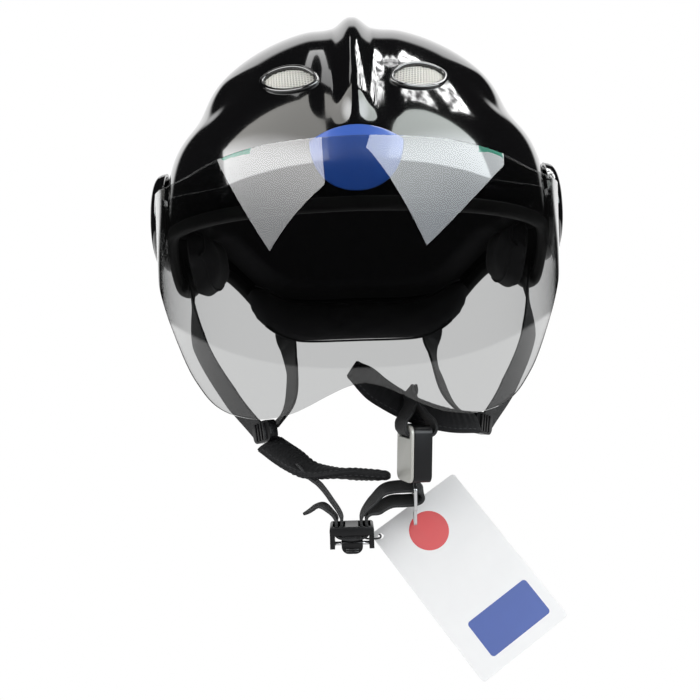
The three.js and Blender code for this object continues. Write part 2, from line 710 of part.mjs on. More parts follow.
// Beading of a U section that wraps the shell's edge
function makeTrim() {
  const rim = COLUMNS.map((degrees) => {
    const azimuth = radians(degrees);
    return shellPoint(azimuth, elevationAt(azimuth, rimHeight(degrees)));
  });
  const count = rim.length;
  const rings = rim.map((point, i) => {
    const along = rim[(i + 1) % count].clone().sub(rim[(i + count - 1) % count]).normalize();
    const normal = vec(point.x, point.y - SHELL_CENTRE_Y, point.z).normalize();
    const away = along.clone().cross(normal).normalize();
    if (away.z > 0) away.negate();
    const tip = point.clone().addScaledVector(away, -TRIM_LEG);
    const outside = -GAP - TRIM_WALL;
    const inside = SHELL_WALL + SEAT_GAP + TRIM_WALL;
    const lift = (inset, drop) => onShell(point, inset, inset > 0).addScaledVector(away, drop);
    return [
      onShell(tip, -GAP),
      onShell(tip, outside),
      lift(outside, GAP),
      lift(SHELL_WALL / 2, GAP + TRIM_WALL * TRIM_BEAD_SHARE),
      lift(inside, GAP),
      onShell(tip, inside, true),
      onShell(tip, inside - TRIM_WALL, true),
      lift(inside - TRIM_WALL, GAP),
      lift(-GAP, GAP),
    ];
  });
  return loft(rings, true);
}

// Lining and the strap legs share the space inside the shell: the legs run clear of the edge trim
const WEB_INSET = SHELL_WALL + SEAT_GAP + TRIM_WALL + SEAT_GAP;
const RIVET_SEAT = WEB_INSET + WEB_THICKNESS + GAP;
const LINER_INSET = SHELL_WALL + GAP;
const LINER_INNER = LINER_INSET + LINER_THICKNESS;
const linerEdge = edgeCurve([
  [0, LINER_BROW_Z],
  [50, LINER_BROW_Z],
  [68, mixOf(LINER_BROW_Z, LINER_EAR_Z, 0.5)],
  [82, LINER_EAR_Z],
  [118, LINER_EAR_Z],
  [130, mixOf(LINER_EAR_Z, LINER_NAPE_Z, 0.3)],
  [145, mixOf(LINER_EAR_Z, LINER_NAPE_Z, 0.85)],
  [158, LINER_NAPE_Z],
  [180, LINER_NAPE_Z],
]);
const LINER_COLUMNS = COLUMNS.filter((degrees, index) => index % 2 === 0);
const LINER_INNER_ROWS = 7;

function makeLiner() {
  const body = solidOf(domeWall(LINER_COLUMNS, 8, LINER_INNER_ROWS, linerEdge, 0, LINER_INNER, true));
  let liner = body.intersect(hollow(COLUMNS, SHELL_INNER_ROWS, rimHeight, 0, LINER_INSET));
  for (const { sign } of SIDES) {
    const floor = SHELL_HALF_WIDTH - SHELL_WALL - NUT_SEAT_GAP - FLANGE_THICKNESS - SEAT_GAP;
    liner = liner.subtract(barX(FLANGE_RADIUS + GAP, sign * floor, sign * COVER_APEX_X));
  }
  return liner;
}

// The head's space inside the lining, kept a gap away from it
function headSpace() {
  return hollow(LINER_COLUMNS, LINER_INNER_ROWS, linerEdge, 0, LINER_INNER + GAP);
}

// A cushion against the inside of the lining: crowned towards the head, thin at its edges
function linedPad(columns, rows, fromDegrees, toDegrees, low, high, inset, thickness, channels) {
  const outer = [];
  const inner = [];
  for (let i = 0; i <= rows; i += 1) {
    const v = (i / rows) * 2 - 1;
    const outerRow = [];
    const innerRow = [];
    for (let j = 0; j <= columns; j += 1) {
      const u = (j / columns) * 2 - 1;
      const degrees = mixOf(fromDegrees, toDegrees, j / columns);
      const azimuth = radians(degrees);
      const height = mixOf(low(degrees), high(degrees), (v + 1) / 2);
      const crown = ((1 - u ** 6) * (1 - v ** 4)) ** 0.5;
      const wave = Math.sin(u * Math.PI * channels / 2) / PAD_GROOVE_SPREAD_SHARE;
      const groove = channels ? 1 - PAD_GROOVE_SHARE * Math.exp(-(wave ** 2)) : 1;
      const depth = thickness * mixOf(PAD_EDGE_SHARE, 1, crown * groove);
      const elevation = elevationAt(azimuth, height, inset, true);
      outerRow.push(shellPoint(azimuth, elevation, inset, true));
      innerRow.push(shellPoint(azimuth, elevation, inset + depth, true));
    }
    outer.push(outerRow);
    inner.push(innerRow);
  }
  return sheet(outer, inner);
}

function makeBrowPad() {
  const low = () => LINER_BROW_Z + SOFT_GAP;
  const high = () => LINER_BROW_Z + BROW_PAD_HEIGHT;
  const half = BROW_PAD_HALF_DEGREES;
  const inset = LINER_INNER - SEAT_GAP;
  const pad = solidOf(linedPad(20, 6, -half, half, low, high, inset, PAD_THICKNESS + SEAT_GAP, 5));
  return largest(pad.intersect(headSpace()));
}

function makeCrownPad() {
  const columns = 24;
  const rows = 6;
  const inset = LINER_INNER - SEAT_GAP;
  const outer = [];
  const inner = [];
  for (let i = 1; i <= rows; i += 1) {
    const share = i / rows;
    const crown = (1 - share ** 4) ** 0.5;
    const elevation = radians(90 - CROWN_PAD_DEGREES * share);
    const turn = (j) => (j / columns) * Math.PI * 2;
    const wave = (j) => Math.sin(turn(j) * 2) / CROWN_GROOVE_SPREAD_SHARE;
    const groove = (j) => CROWN_PAD_CHANNEL * share * Math.exp(-(wave(j) ** 2));
    const outerRing = [];
    const innerRing = [];
    for (let j = 0; j < columns; j += 1) {
      const depth = SEAT_GAP + mixOf(PAD_EDGE, PAD_THICKNESS - groove(j), crown);
      outerRing.push(shellPoint(turn(j), elevation, inset, true));
      innerRing.push(shellPoint(turn(j), elevation, inset + depth, true));
    }
    outer.push(outerRing);
    inner.push(innerRing);
  }
  const top = shellPoint(0, Math.PI / 2, inset, true);
  const bottom = shellPoint(0, Math.PI / 2, inset + SEAT_GAP + PAD_THICKNESS, true);
  const pad = solidOf(poleSkin(top, [...outer, ...inner.reverse()], bottom));
  return largest(pad.intersect(headSpace()));
}

// Ear pads hang below the liner against the inside of the ear flaps
function makeEarPad(sign) {
  const low = (degrees) => rimHeight(degrees) - EAR_PAD_DROP;
  const high = (degrees) => linerEdge(degrees) - SOFT_GAP;
  const inset = RIVET_SEAT + RIVET_HEAD_HEIGHT + SEAT_GAP;
  const [from, to] = EAR_PAD_DEGREES.map((degrees) => degrees * sign);
  return linedPad(10, 7, from, to, low, high, inset, EAR_PAD_THICKNESS, 0);
}

// A soft roll round the nape, below the liner
function makeNeckRoll() {
  const [from, to] = NECK_ROLL_DEGREES;
  const steps = 16;
  const sides = 10;
  const rings = [];
  const inset = RIVET_SEAT + RIVET_HEAD_HEIGHT + NECK_ROLL_SEAT;
  for (let i = 0; i <= steps; i += 1) {
    const share = i / steps;
    const degrees = mixOf(from, to, share);
    const azimuth = radians(degrees);
    const taper = mixOf(NECK_ROLL_END_SHARE, 1, (1 - Math.abs(share * 2 - 1) ** 5) ** 0.5);
    const top = linerEdge(degrees) - SOFT_GAP;
    const bottom = mixOf(rimHeight(degrees), NECK_ROLL_Z, NECK_ROLL_LOW_SHARE);
    const middle = (top + bottom) / 2;
    const half = ((top - bottom) / 2) * taper;
    const thick = (NECK_ROLL_THICKNESS / 2) * taper;
    const ring = [];
    for (let j = 0; j < sides; j += 1) {
      const t = (j / sides) * Math.PI * 2;
      ring.push(onWall(azimuth, middle + Math.sin(t) * half, inset + thick * (1 + Math.cos(t))));
    }
    rings.push(ring);
  }
  return loft(rings);
}

function onWall(azimuth, height, inset) {
  return shellPoint(azimuth, elevationAt(azimuth, height, inset, true), inset, true);
}

// Visor: a sheet bent to a deep U, its ends flat round the pivots

const visorWidth = (z) => VISOR_HALF_WIDTH - z ** 2 / (2 * VISOR_SIDE_RADIUS);
const visorDepth = (z) => VISOR_DEPTH - (z - VISOR_BULGE_Z) ** 2 / (2 * VISOR_BULGE_RADIUS);

// Point of the visor's outer face for an angle from the front, a distance behind the pivot and a height
function visorPoint(degrees, behind, z, inset) {
  const angle = radians(Math.min(Math.abs(degrees), 90));
  const width = visorWidth(z) - inset;
  const depth = visorDepth(z) - inset;
  const x = Math.sign(degrees) * width * Math.sin(angle) ** (2 / VISOR_ROUND_SHARE);
  const y = -depth * Math.cos(angle) ** (2 / VISOR_ROUND_SHARE);
  return vec(x, y + behind, z);
}

const visorTop = edgeCurve([
  [0, VISOR_TOP_Z],
  [20, VISOR_TOP_Z * 0.92],
  [35, VISOR_TOP_Z * 0.74],
  [48, VISOR_TOP_Z * 0.52],
  [60, VISOR_TOP_Z * 0.46],
  [76, VISOR_TOP_Z * 0.47],
  [90, VISOR_TAB_HALF],
]);
const visorBottom = edgeCurve([
  [0, VISOR_NOSE_Z],
  [3, mixOf(VISOR_NOSE_Z, VISOR_CORNER_Z, 0.09)],
  [7.4, mixOf(VISOR_NOSE_Z, VISOR_CORNER_Z, 0.34)],
  [12, mixOf(VISOR_NOSE_Z, VISOR_CORNER_Z, 0.62)],
  [17, mixOf(VISOR_NOSE_Z, VISOR_CORNER_Z, 0.86)],
  [25, VISOR_CORNER_Z],
  [33, VISOR_CORNER_Z * 0.985],
  [38, VISOR_CORNER_Z * 0.957],
  [42, VISOR_CORNER_Z * 0.917],
  [46, VISOR_CORNER_Z * 0.856],
  [50, VISOR_CORNER_Z * 0.786],
  [58, VISOR_CORNER_Z * 0.612],
  [66, VISOR_CORNER_Z * 0.465],
  [74, VISOR_CORNER_Z * 0.35],
  [82, VISOR_CORNER_Z * 0.25],
  [90, VISOR_CORNER_Z * 0.165],
]);
const VISOR_COLUMN_DEGREES = [0, 3, 7.4, 12, 17, 22, 28, 34, 40, 45, 50, 55, 61, 67, 74, 82, 90];

function visorStations() {
  const half = VISOR_COLUMN_DEGREES.map((degrees) => ({
    degrees, behind: 0, top: visorTop(degrees), bottom: visorBottom(degrees),
  }));
  const low = visorBottom(90);
  for (let i = 1; i <= VISOR_TAB_STEPS; i += 1) {
    const turn = (i / VISOR_TAB_STEPS) * radians(VISOR_TAB_TURN_DEGREES);
    const round = Math.cos(turn);
    half.push({
      degrees: 90, behind: VISOR_TAB_BACK * Math.sin(turn), top: VISOR_TAB_HALF * round, bottom: low * round,
    });
  }
  const mirrored = half.slice(1).reverse().map((s) => ({ ...s, degrees: -s.degrees }));
  return [...mirrored, ...half];
}

function visorSheet(grow) {
  const rows = 5;
  const outer = [];
  const inner = [];
  for (let i = 0; i <= rows; i += 1) {
    const share = i / rows;
    const line = (inset) => visorStations().map((s) => {
      const z = mixOf(s.top + grow, s.bottom - grow, share);
      return visorPoint(s.degrees, s.behind, z, inset);
    });
    outer.push(line(-grow));
    inner.push(line(VISOR_THICKNESS + grow));
  }
  return solidOf(sheet(outer, inner));
}

function makeVisor() {
  let visor = visorSheet(0);
  const bore = BARREL_RADIUS + GAP;
  for (const { sign } of SIDES) {
    visor = visor.subtract(barX(bore, sign * (VISOR_HALF_WIDTH - OVERRUN), sign * COVER_APEX_X));
  }
  return visor;
}

// Pivot hardware, built on the wearer's left and mirrored by sign

const VISOR_INNER_X = VISOR_HALF_WIDTH - VISOR_THICKNESS;
const WASHER_X = VISOR_HALF_WIDTH + GAP;
const HEAD_X = WASHER_X + WASHER_THICKNESS + GAP;

function makeBase(sign) {
  const from = sign * (VISOR_INNER_X - BASE_DEPTH);
  const to = sign * (VISOR_INNER_X - TURNING_GAP);
  const disc = barX(BASE_RADIUS, from, to, 0, 0, 20);
  const bore = barX(BARREL_RADIUS + GAP, sign * (VISOR_INNER_X - OVERRUN), sign * COVER_APEX_X);
  return disc.subtract(envelope(-GAP, FINE_ENVELOPE_ROWS)).subtract(visorSheet(GAP)).subtract(bore);
}

function makeNut(sign) {
  const seat = SHELL_HALF_WIDTH - SHELL_WALL - NUT_SEAT_GAP;
  const flange = barX(FLANGE_RADIUS, sign * (seat - FLANGE_THICKNESS), sign * seat);
  const barrel = barX(BARREL_RADIUS, sign * (seat - GAP), sign * (VISOR_HALF_WIDTH + GAP / 2));
  const bore = barX(NUT_BORE, sign * (seat - OVERRUN), sign * COVER_APEX_X);
  return flange.add(barrel).subtract(bore);
}

function makeWasher(sign) {
  const ring = barX(WASHER_RADIUS, sign * WASHER_X, sign * (WASHER_X + WASHER_THICKNESS), 0, 0, 20);
  return ring.subtract(barX(NUT_BORE, sign * (WASHER_X - OVERRUN), sign * COVER_APEX_X));
}

function makeScrew(sign) {
  const top = HEAD_X + SCREW_HEAD_HEIGHT;
  const end = SHELL_HALF_WIDTH - SHELL_WALL - FLANGE_THICKNESS;
  const shank = barX(SCREW_SHANK, sign * end, sign * (HEAD_X + GAP));
  const head = barX(SCREW_HEAD, sign * HEAD_X, sign * top);
  const socket = barX(SCREW_SOCKET, sign * (top - SCREW_SOCKET_DEPTH), sign * (top + OVERRUN), 0, 0, 6);
  return head.add(shank).subtract(socket);
}

function coverProfile() {
  const r = COVER_HALF_WIDTH;
  const rise = COVER_APEX_X - COVER_SKIRT_X;
  const outer = COVER_PROFILE_SHARES.map(([out, up]) => new THREE.Vector2(r * out, rise * up));
  const inner = COVER_PROFILE_SHARES.filter((pair, index) => index !== 1 && index !== 3).map(([out, up]) => {
    const inside = r - COVER_WALL;
    return new THREE.Vector2(inside * out, Math.max(rise * up - COVER_WALL, 0));
  });
  return [...outer.reverse(), ...inner.slice(0, -1), new THREE.Vector2(r - COVER_WALL, 0)];
}

function makeCover(sign) {
  const points = coverProfile();
  points.push(points[0].clone());
  const dome = new THREE.LatheGeometry(points, 22);
  dome.scale(1, 1, COVER_HALF_HEIGHT / COVER_HALF_WIDTH);
  dome.rotateZ(-radians(90));
  dome.translate(COVER_SKIRT_X, 0, 0);
  let cover = solidOf(indexed(positions(dome), triangles(dome)));
  if (sign < 0) cover = cover.mirror([1, 0, 0]);
  return cover.subtract(visorSheet(GAP));
}

// Points and faces of a geometry whose shared corners are merged
function positions(geometry) {
  const bare = geometry.clone();
  bare.deleteAttribute("normal");
  bare.deleteAttribute("uv");
  const merged = mergeVertices(bare, WELD);
  geometry.userData.merged = merged;
  const attribute = merged.attributes.position;
  const pointAt = (_, i) => new THREE.Vector3().fromBufferAttribute(attribute, i);
  return Array.from({ length: attribute.count }, pointAt);
}

function triangles(geometry) {
  const index = geometry.userData.merged.index.array;
  const faces = [];
  for (let i = 0; i < index.length; i += 3) {
    const face = [index[i], index[i + 1], index[i + 2]];
    if (new Set(face).size === 3) faces.push(face);
  }
  return faces;
}

// Webbing

// A flat band through a list of places, with the direction of its width at each place
function band(places, widths, width, thickness, steps) {
  const curve = new THREE.CatmullRomCurve3(places, false, "centripetal");
  const rings = [];
  for (let i = 0; i <= steps; i += 1) {
    const t = i / steps;
    const point = curve.getPoint(t);
    const along = curve.getTangent(t);
    const at = t * (widths.length - 1);
    const k = Math.min(Math.floor(at), widths.length - 2);
    const across = widths[k].clone().lerp(widths[k + 1], at - k);
    across.addScaledVector(along, -across.dot(along)).normalize();
    const normal = along.clone().cross(across).normalize();
    const corner = (a, n) => point.clone()
      .addScaledVector(across, (a * width) / 2)
      .addScaledVector(normal, (n * thickness) / 2);
    rings.push([
      corner(1, 0), corner(WEB_FLAT_SHARE, 1), corner(-WEB_FLAT_SHARE, 1),
      corner(-1, 0), corner(-WEB_FLAT_SHARE, -1), corner(WEB_FLAT_SHARE, -1),
    ]);
  }
  return loft(rings);
}

// Anchors lie just inside the shell; a bar through an anchor runs along the shell's inward direction
function anchorFrame(anchor, sign) {
  const azimuth = radians(anchor.degrees) * sign;
  const surface = onWall(azimuth, anchor.z, 0);
  const inward = vec(surface.x, surface.y - SHELL_CENTRE_Y, surface.z).normalize().negate();
  return { surface, inward };
}

function anchorBar(anchor, sign, radius, from, to) {
  const { surface, inward } = anchorFrame(anchor, sign);
  const geometry = new THREE.CylinderGeometry(radius, radius, to - from, 12);
  geometry.translate(0, (from + to) / 2, 0);
  geometry.applyQuaternion(new THREE.Quaternion().setFromUnitVectors(vec(0, 1, 0), inward));
  geometry.translate(surface.x, surface.y, surface.z);
  return solidOf(geometry);
}

function makeRivet(anchor, sign) {
  const outerHead = anchorBar(anchor, sign, RIVET_HEAD, -GAP - RIVET_HEAD_HEIGHT, -GAP);
  const shank = anchorBar(anchor, sign, RIVET_SHANK, -GAP * 2, RIVET_SEAT + GAP);
  const innerHead = anchorBar(anchor, sign, RIVET_HEAD, RIVET_SEAT, RIVET_SEAT + RIVET_HEAD_HEIGHT);
  return outerHead.add(shank).add(innerHead);
}

// A strap leg on the wearer's left: flat under its rivet, then bent down to the divider
function makeLeg(anchor, place, bends, widths) {
  const { surface, inward } = anchorFrame(anchor, 1);
  const start = surface.clone().addScaledVector(inward, WEB_INSET + WEB_THICKNESS / 2);
  const rest = bends(start);
  const along = rest[0].clone().sub(start);
  along.addScaledVector(inward, -along.dot(inward)).normalize();
  const startWidth = along.clone().cross(inward).normalize();
  const flat = [-RIVET_WEB_END, 0, RIVET_FLAT].map((reach) => start.clone().addScaledVector(along, reach));
  if (startWidth.dot(widths[0]) < 0) startWidth.negate();
  const turns = [startWidth, startWidth, ...widths];
  const web = solidOf(band([...flat, ...rest], turns, WEB_WIDTH, WEB_THICKNESS, 16));
  const bore = anchorBar(anchor, 1, RIVET_SHANK + GAP, -OVERRUN, OVERRUN * 2);
  return largest(web.subtract(bore).subtract(dividerBody(place, GAP)));
}

function makeFrontLeg(place) {
  const end = dividerPoint(place, FRONT_LEG_SHIFT, -LEG_SPLIT, 0);
  const bends = (start) => [
    ...FRONT_LEG_BEND_SHARES.map(([at, share]) => start.clone().lerp(end, at).add(
      vec(FRONT_LEG_BOW * share, 0, 0),
    )),
    end,
  ];
  return makeLeg(FRONT_ANCHOR, place, bends, [vec(...FRONT_LEG_WIDTH_SHARES), dividerTurned(vec(1, 0, 0))]);
}

// A place on the inside of the shell's surface, some way below a start
function wallUnder(start, drop) {
  const azimuth = Math.atan2(start.x, SHELL_CENTRE_Y - start.y);
  return onWall(azimuth, start.z - drop, WEB_INSET + WEB_THICKNESS / 2 + LEG_WALL_GAP);
}

function makeRearLeg(place) {
  const end = dividerPoint(place, REAR_LEG_SHIFT, LEG_SPLIT, 0);
  const bends = (start) => [
    ...REAR_LEG_WALL_DROPS.map((drop) => wallUnder(start, drop).add(vec(REAR_LEG_SPREAD, 0, 0))),
    ...REAR_LEG_BEND_SHARES.map(([at, share]) => start.clone().lerp(end, at).add(
      vec(-REAR_LEG_BOW, 0, -REAR_LEG_SAG * share),
    )),
    end,
  ];
  return makeLeg(REAR_ANCHOR, place, bends, [vec(...REAR_LEG_WIDTH_SHARES), dividerTurned(vec(1, 0, 0))]);
}

// Divider: a ribbed plastic block where the two legs meet the chin strap
function dividerTurned(point) {
  const lean = new THREE.Matrix4().makeRotationY(radians(DIVIDER_LEAN_DEGREES));
  const turn = new THREE.Matrix4().makeRotationZ(radians(DIVIDER_TURN_DEGREES));
  return point.applyMatrix4(lean).applyMatrix4(turn);
}

// A place given along the divider, through its thickness and up
function dividerPoint(place, along, through, up) {
  return dividerTurned(vec(along, through, up)).add(place);
}

function dividerBody(place, grow) {
  const length = DIVIDER_LENGTH + grow * 2;
  const height = DIVIDER_HEIGHT + grow * 2;
  const thickness = DIVIDER_THICKNESS + grow * 2;
  let divider = roundedPlate(length, height, thickness, DIVIDER_CORNER);
  const pitch = (DIVIDER_LENGTH * DIVIDER_RIBBED_SHARE) / DIVIDER_RIB_COUNT;
  const ribHeight = DIVIDER_HEIGHT * DIVIDER_RIB_HEIGHT_SHARE;
  for (let i = 0; i < DIVIDER_RIB_COUNT; i += 1) {
    const x = (i - (DIVIDER_RIB_COUNT - 1) / 2) * pitch;
    const rib = block(pitch / 2 + grow, (DIVIDER_RIB + grow) * 2, ribHeight, x, -DIVIDER_THICKNESS / 2, 0);
    divider = divider.add(rib);
  }
  return divider
    .rotate([0, DIVIDER_LEAN_DEGREES, DIVIDER_TURN_DEGREES])
    .translate([place.x, place.y, place.z]);
}

// Padded sleeves: flat tubes of soft cloth, puffed in the middle of their width
function sleeve(places, widths, fullness, steps, grow) {
  const curve = new THREE.CatmullRomCurve3(places, false, "centripetal");
  const sides = 12;
  const rings = [];
  for (let i = 0; i <= steps; i += 1) {
    const t = i / steps;
    const point = curve.getPoint(t);
    const along = curve.getTangent(t);
    const at = t * (widths.length - 1);
    const k = Math.min(Math.floor(at), widths.length - 2);
    const across = widths[k].clone().lerp(widths[k + 1], at - k);
    across.addScaledVector(along, -across.dot(along)).normalize();
    const normal = along.clone().cross(across).normalize();
    const end = (1 - Math.abs(t * 2 - 1) ** 8) ** 0.5;
    const full = fullness(t);
    const ring = [];
    for (let j = 0; j < sides; j += 1) {
      const turn = (j / sides) * Math.PI * 2;
      const wide = Math.sign(Math.cos(turn)) * Math.abs(Math.cos(turn)) ** SLEEVE_SIDE_POWER;
      const across2 = wide * ((SLEEVE_WIDTH * full) / 2 + grow);
      const thick = Math.sin(turn) * ((SLEEVE_THICKNESS * mixOf(SLEEVE_END_SHARE, 1, end)) / 2 + grow);
      ring.push(point.clone().addScaledVector(across, across2).addScaledVector(normal, thick));
    }
    rings.push(ring);
  }
  return loft(rings);
}

// How full a sleeve is along its length: from its start to its middle, then down to its tip
function fullnessOf([start, middle, tip], risen, falling) {
  return (t) => mixOf(start, middle, smooth(0, risen, t)) - (middle - tip) * smooth(falling, 1, t);
}

function rightSleeve(grow) {
  const widths = RIGHT_SLEEVE_WIDTH_SHARES.map((shares) => vec(...shares));
  const narrowed = fullnessOf(RIGHT_SLEEVE_FULLNESS_SHARES, 0.3, 0.6);
  const tube = solidOf(sleeve(RIGHT_SLEEVE_PLACES, widths, narrowed, 18, grow));
  return largest(tube.subtract(dividerBody(DIVIDER_PLACES.right, GAP).mirror([1, 0, 0])));
}

function leftSleeve(grow) {
  const widths = LEFT_SLEEVE_WIDTH_SHARES.map((shares) => vec(...shares));
  const widened = fullnessOf(LEFT_SLEEVE_FULLNESS_SHARES, 0.4, 0.65);
  const tube = solidOf(sleeve(LEFT_SLEEVE_PLACES, widths, widened, 18, grow));
  return largest(tube.subtract(dividerBody(DIVIDER_PLACES.left, GAP)));
}

// Buckle, built square to the axes about its hanging point and then turned into place
const BUCKLE_HALF = BUCKLE_THICKNESS / 2;
const BUCKLE_BAR_Z = -BUCKLE_SLOT_DROP - BUCKLE_SLOT_HEIGHT / 2;

function placeBuckle(solid) {
  return solid
    .translate([0, 0, -BUCKLE_BAR_Z])
    .rotate([0, 0, BUCKLE_TURN_DEGREES])
    .rotate([0, BUCKLE_TILT_DEGREES, 0])
    .translate([BUCKLE_TOP.x, BUCKLE_TOP.y, BUCKLE_TOP.z + BUCKLE_BAR_Z]);
}

const BUTTON_Z = -BUTTON_DROP - BUTTON_LENGTH / 2;
const FACE_Y = -BUCKLE_HALF;

function makeBuckleHousing() {
  const body = roundedPlate(BUCKLE_WIDTH, BUCKLE_HEIGHT, BUCKLE_THICKNESS, BUCKLE_CORNER)
    .translate([0, 0, -BUCKLE_HEIGHT / 2]);
  const slot = block(BUCKLE_SLOT_WIDTH, BUCKLE_THICKNESS + OVERRUN, BUCKLE_SLOT_HEIGHT, 0, 0, BUCKLE_BAR_Z);
  const mouth = block(
    BUCKLE_MOUTH_WIDTH, BUCKLE_MOUTH_THICKNESS, BUCKLE_MOUTH_DEPTH + OVERRUN,
    0, 0, -BUCKLE_HEIGHT + (BUCKLE_MOUTH_DEPTH - OVERRUN) / 2,
  );
  const well = block(
    BUTTON_WIDTH + GAP * 2, BUCKLE_HALF + OVERRUN, BUTTON_LENGTH + GAP * 2,
    0, BUCKLE_HALF / 2 + OVERRUN / 2 + BUCKLE_MOUTH_THICKNESS / 2 + GAP * 2, BUTTON_Z,
  );
  return body.subtract(slot).subtract(mouth).subtract(well);
}

function makeBuckleFace() {
  const y = FACE_Y - GAP - BUCKLE_FACE_THICKNESS / 2;
  const plate = roundedPlate(BUCKLE_WIDTH, BUCKLE_HEIGHT, BUCKLE_FACE_THICKNESS, BUCKLE_CORNER)
    .translate([0, y, -BUCKLE_HEIGHT / 2]);
  return plate.subtract(block(BUCKLE_SLOT_WIDTH, OVERRUN, BUCKLE_SLOT_HEIGHT, 0, y, BUCKLE_BAR_Z));
}

function makeButton() {
  const y = BUCKLE_HALF + BUTTON_STAND - BUTTON_THICKNESS / 2;
  return roundedPlate(BUTTON_WIDTH, BUTTON_LENGTH, BUTTON_THICKNESS, BUTTON_THICKNESS)
    .translate([0, y, BUTTON_Z]);
}

// Button return spring: a short coil on the floor of the button's well
function makeSpring() {
  const floor = BUCKLE_MOUTH_THICKNESS / 2 + GAP * 2;
  const low = floor + SPRING_WIRE + GAP / 2;
  const high = BUCKLE_HALF + BUTTON_STAND - BUTTON_THICKNESS - GAP / 2 - SPRING_WIRE;
  const steps = SPRING_TURN_COUNT * SPRING_TURN_STEPS;
  const points = Array.from({ length: steps + 1 }, (_, i) => {
    const turn = (i / SPRING_TURN_STEPS) * Math.PI * 2;
    const y = mixOf(low, high, i / steps);
    return vec(SPRING_RADIUS * Math.cos(turn), y, BUTTON_Z + SPRING_RADIUS * Math.sin(turn));
  });
  const leastGap = (high - low) / SPRING_TURN_COUNT - SPRING_WIRE * 2;
  console.log(`spring's least gap to itself: ${leastGap.toFixed(2)} mm`);
  const rings = points.map((point, i) => {
    const along = points[Math.min(i + 1, steps)].clone().sub(points[Math.max(i - 1, 0)]).normalize();
    const outward = vec(point.x, 0, point.z - BUTTON_Z).normalize();
    const side = along.clone().cross(outward).normalize();
    return Array.from({ length: SPRING_SIDES }, (_, j) => {
      const t = (j / SPRING_SIDES) * Math.PI * 2;
      return point.clone()
        .addScaledVector(outward, Math.cos(t) * SPRING_WIRE)
        .addScaledVector(side, Math.sin(t) * SPRING_WIRE);
    });
  });
  return solidOf(loft(rings));
}

// Webbing loop that carries the buckle: it runs through the buckle's slot and up to the left sleeve
function makeBuckleWeb() {
  const reach = BUCKLE_HALF + BUCKLE_FACE_THICKNESS + GAP + WEB_THICKNESS;
  const stack = (WEB_THICKNESS + SOFT_GAP) / 2;
  const side = (sign) => [
    vec(BUCKLE_WEB_SHIFTS[0], sign * stack, BUCKLE_WEB_RISES[0]),
    vec(BUCKLE_WEB_SHIFTS[1], sign * stack, BUCKLE_WEB_RISES[1]),
    vec(BUCKLE_WEB_SHIFTS[2], sign * reach * BUCKLE_WEB_REACH_SHARES[0], BUCKLE_WEB_RISES[2]),
    vec(BUCKLE_WEB_SHIFTS[3], sign * reach * BUCKLE_WEB_REACH_SHARES[1], BUCKLE_WEB_RISES[3]),
    vec(0, sign * reach, BUCKLE_BAR_Z / 2),
    vec(0, sign * reach * BUCKLE_WEB_REACH_SHARES[2], BUCKLE_BAR_Z),
  ];
  const places = [...side(-1), vec(0, 0, BUCKLE_BAR_Z), ...side(1).reverse()];
  const width = vec(1, 0, 0);
  const web = placeBuckle(solidOf(band(places, [width, width], WEB_WIDTH, WEB_THICKNESS, 28)));
  return largest(web.subtract(leftSleeve(SOFT_GAP)));
}

// Tongue: a ladder plate standing in the Y and Z plane, with two slots and a blade
function makeTongue() {
  const height = TONGUE_TOP * 2;
  const plate = roundedPlate(TONGUE_WIDTH, height, TONGUE_THICKNESS, TONGUE_CORNER).rotate([0, 0, 90]);
  const bladeHeight = TONGUE_DROP - TONGUE_TOP + TONGUE_LAP;
  const blade = roundedPlate(TONGUE_BLADE_WIDTH, bladeHeight, TONGUE_THICKNESS, TONGUE_BLADE_CORNER)
    .rotate([0, 0, 90])
    .translate([0, 0, -TONGUE_TOP - bladeHeight / 2 + TONGUE_LAP]);
  const slotHeight = TONGUE_SLOT_OUTER - TONGUE_SLOT_INNER;
  const slotZ = (TONGUE_SLOT_OUTER + TONGUE_SLOT_INNER) / 2;
  const upper = block(OVERRUN, TONGUE_SLOT_WIDTH, slotHeight, 0, 0, slotZ);
  const lower = block(OVERRUN, TONGUE_SLOT_WIDTH, slotHeight, 0, 0, -slotZ);
  const catchZ = TONGUE_CATCH_RISE - TONGUE_DROP;
  const catchHole = block(OVERRUN, TONGUE_CATCH_WIDTH, TONGUE_CATCH_HEIGHT, 0, 0, catchZ);
  return plate.add(blade).subtract(upper).subtract(lower).subtract(catchHole)
    .rotate([TONGUE_TILT_DEGREES, 0, 0])
    .translate([TONGUE_BAR.x, TONGUE_BAR.y, TONGUE_BAR.z]);
}

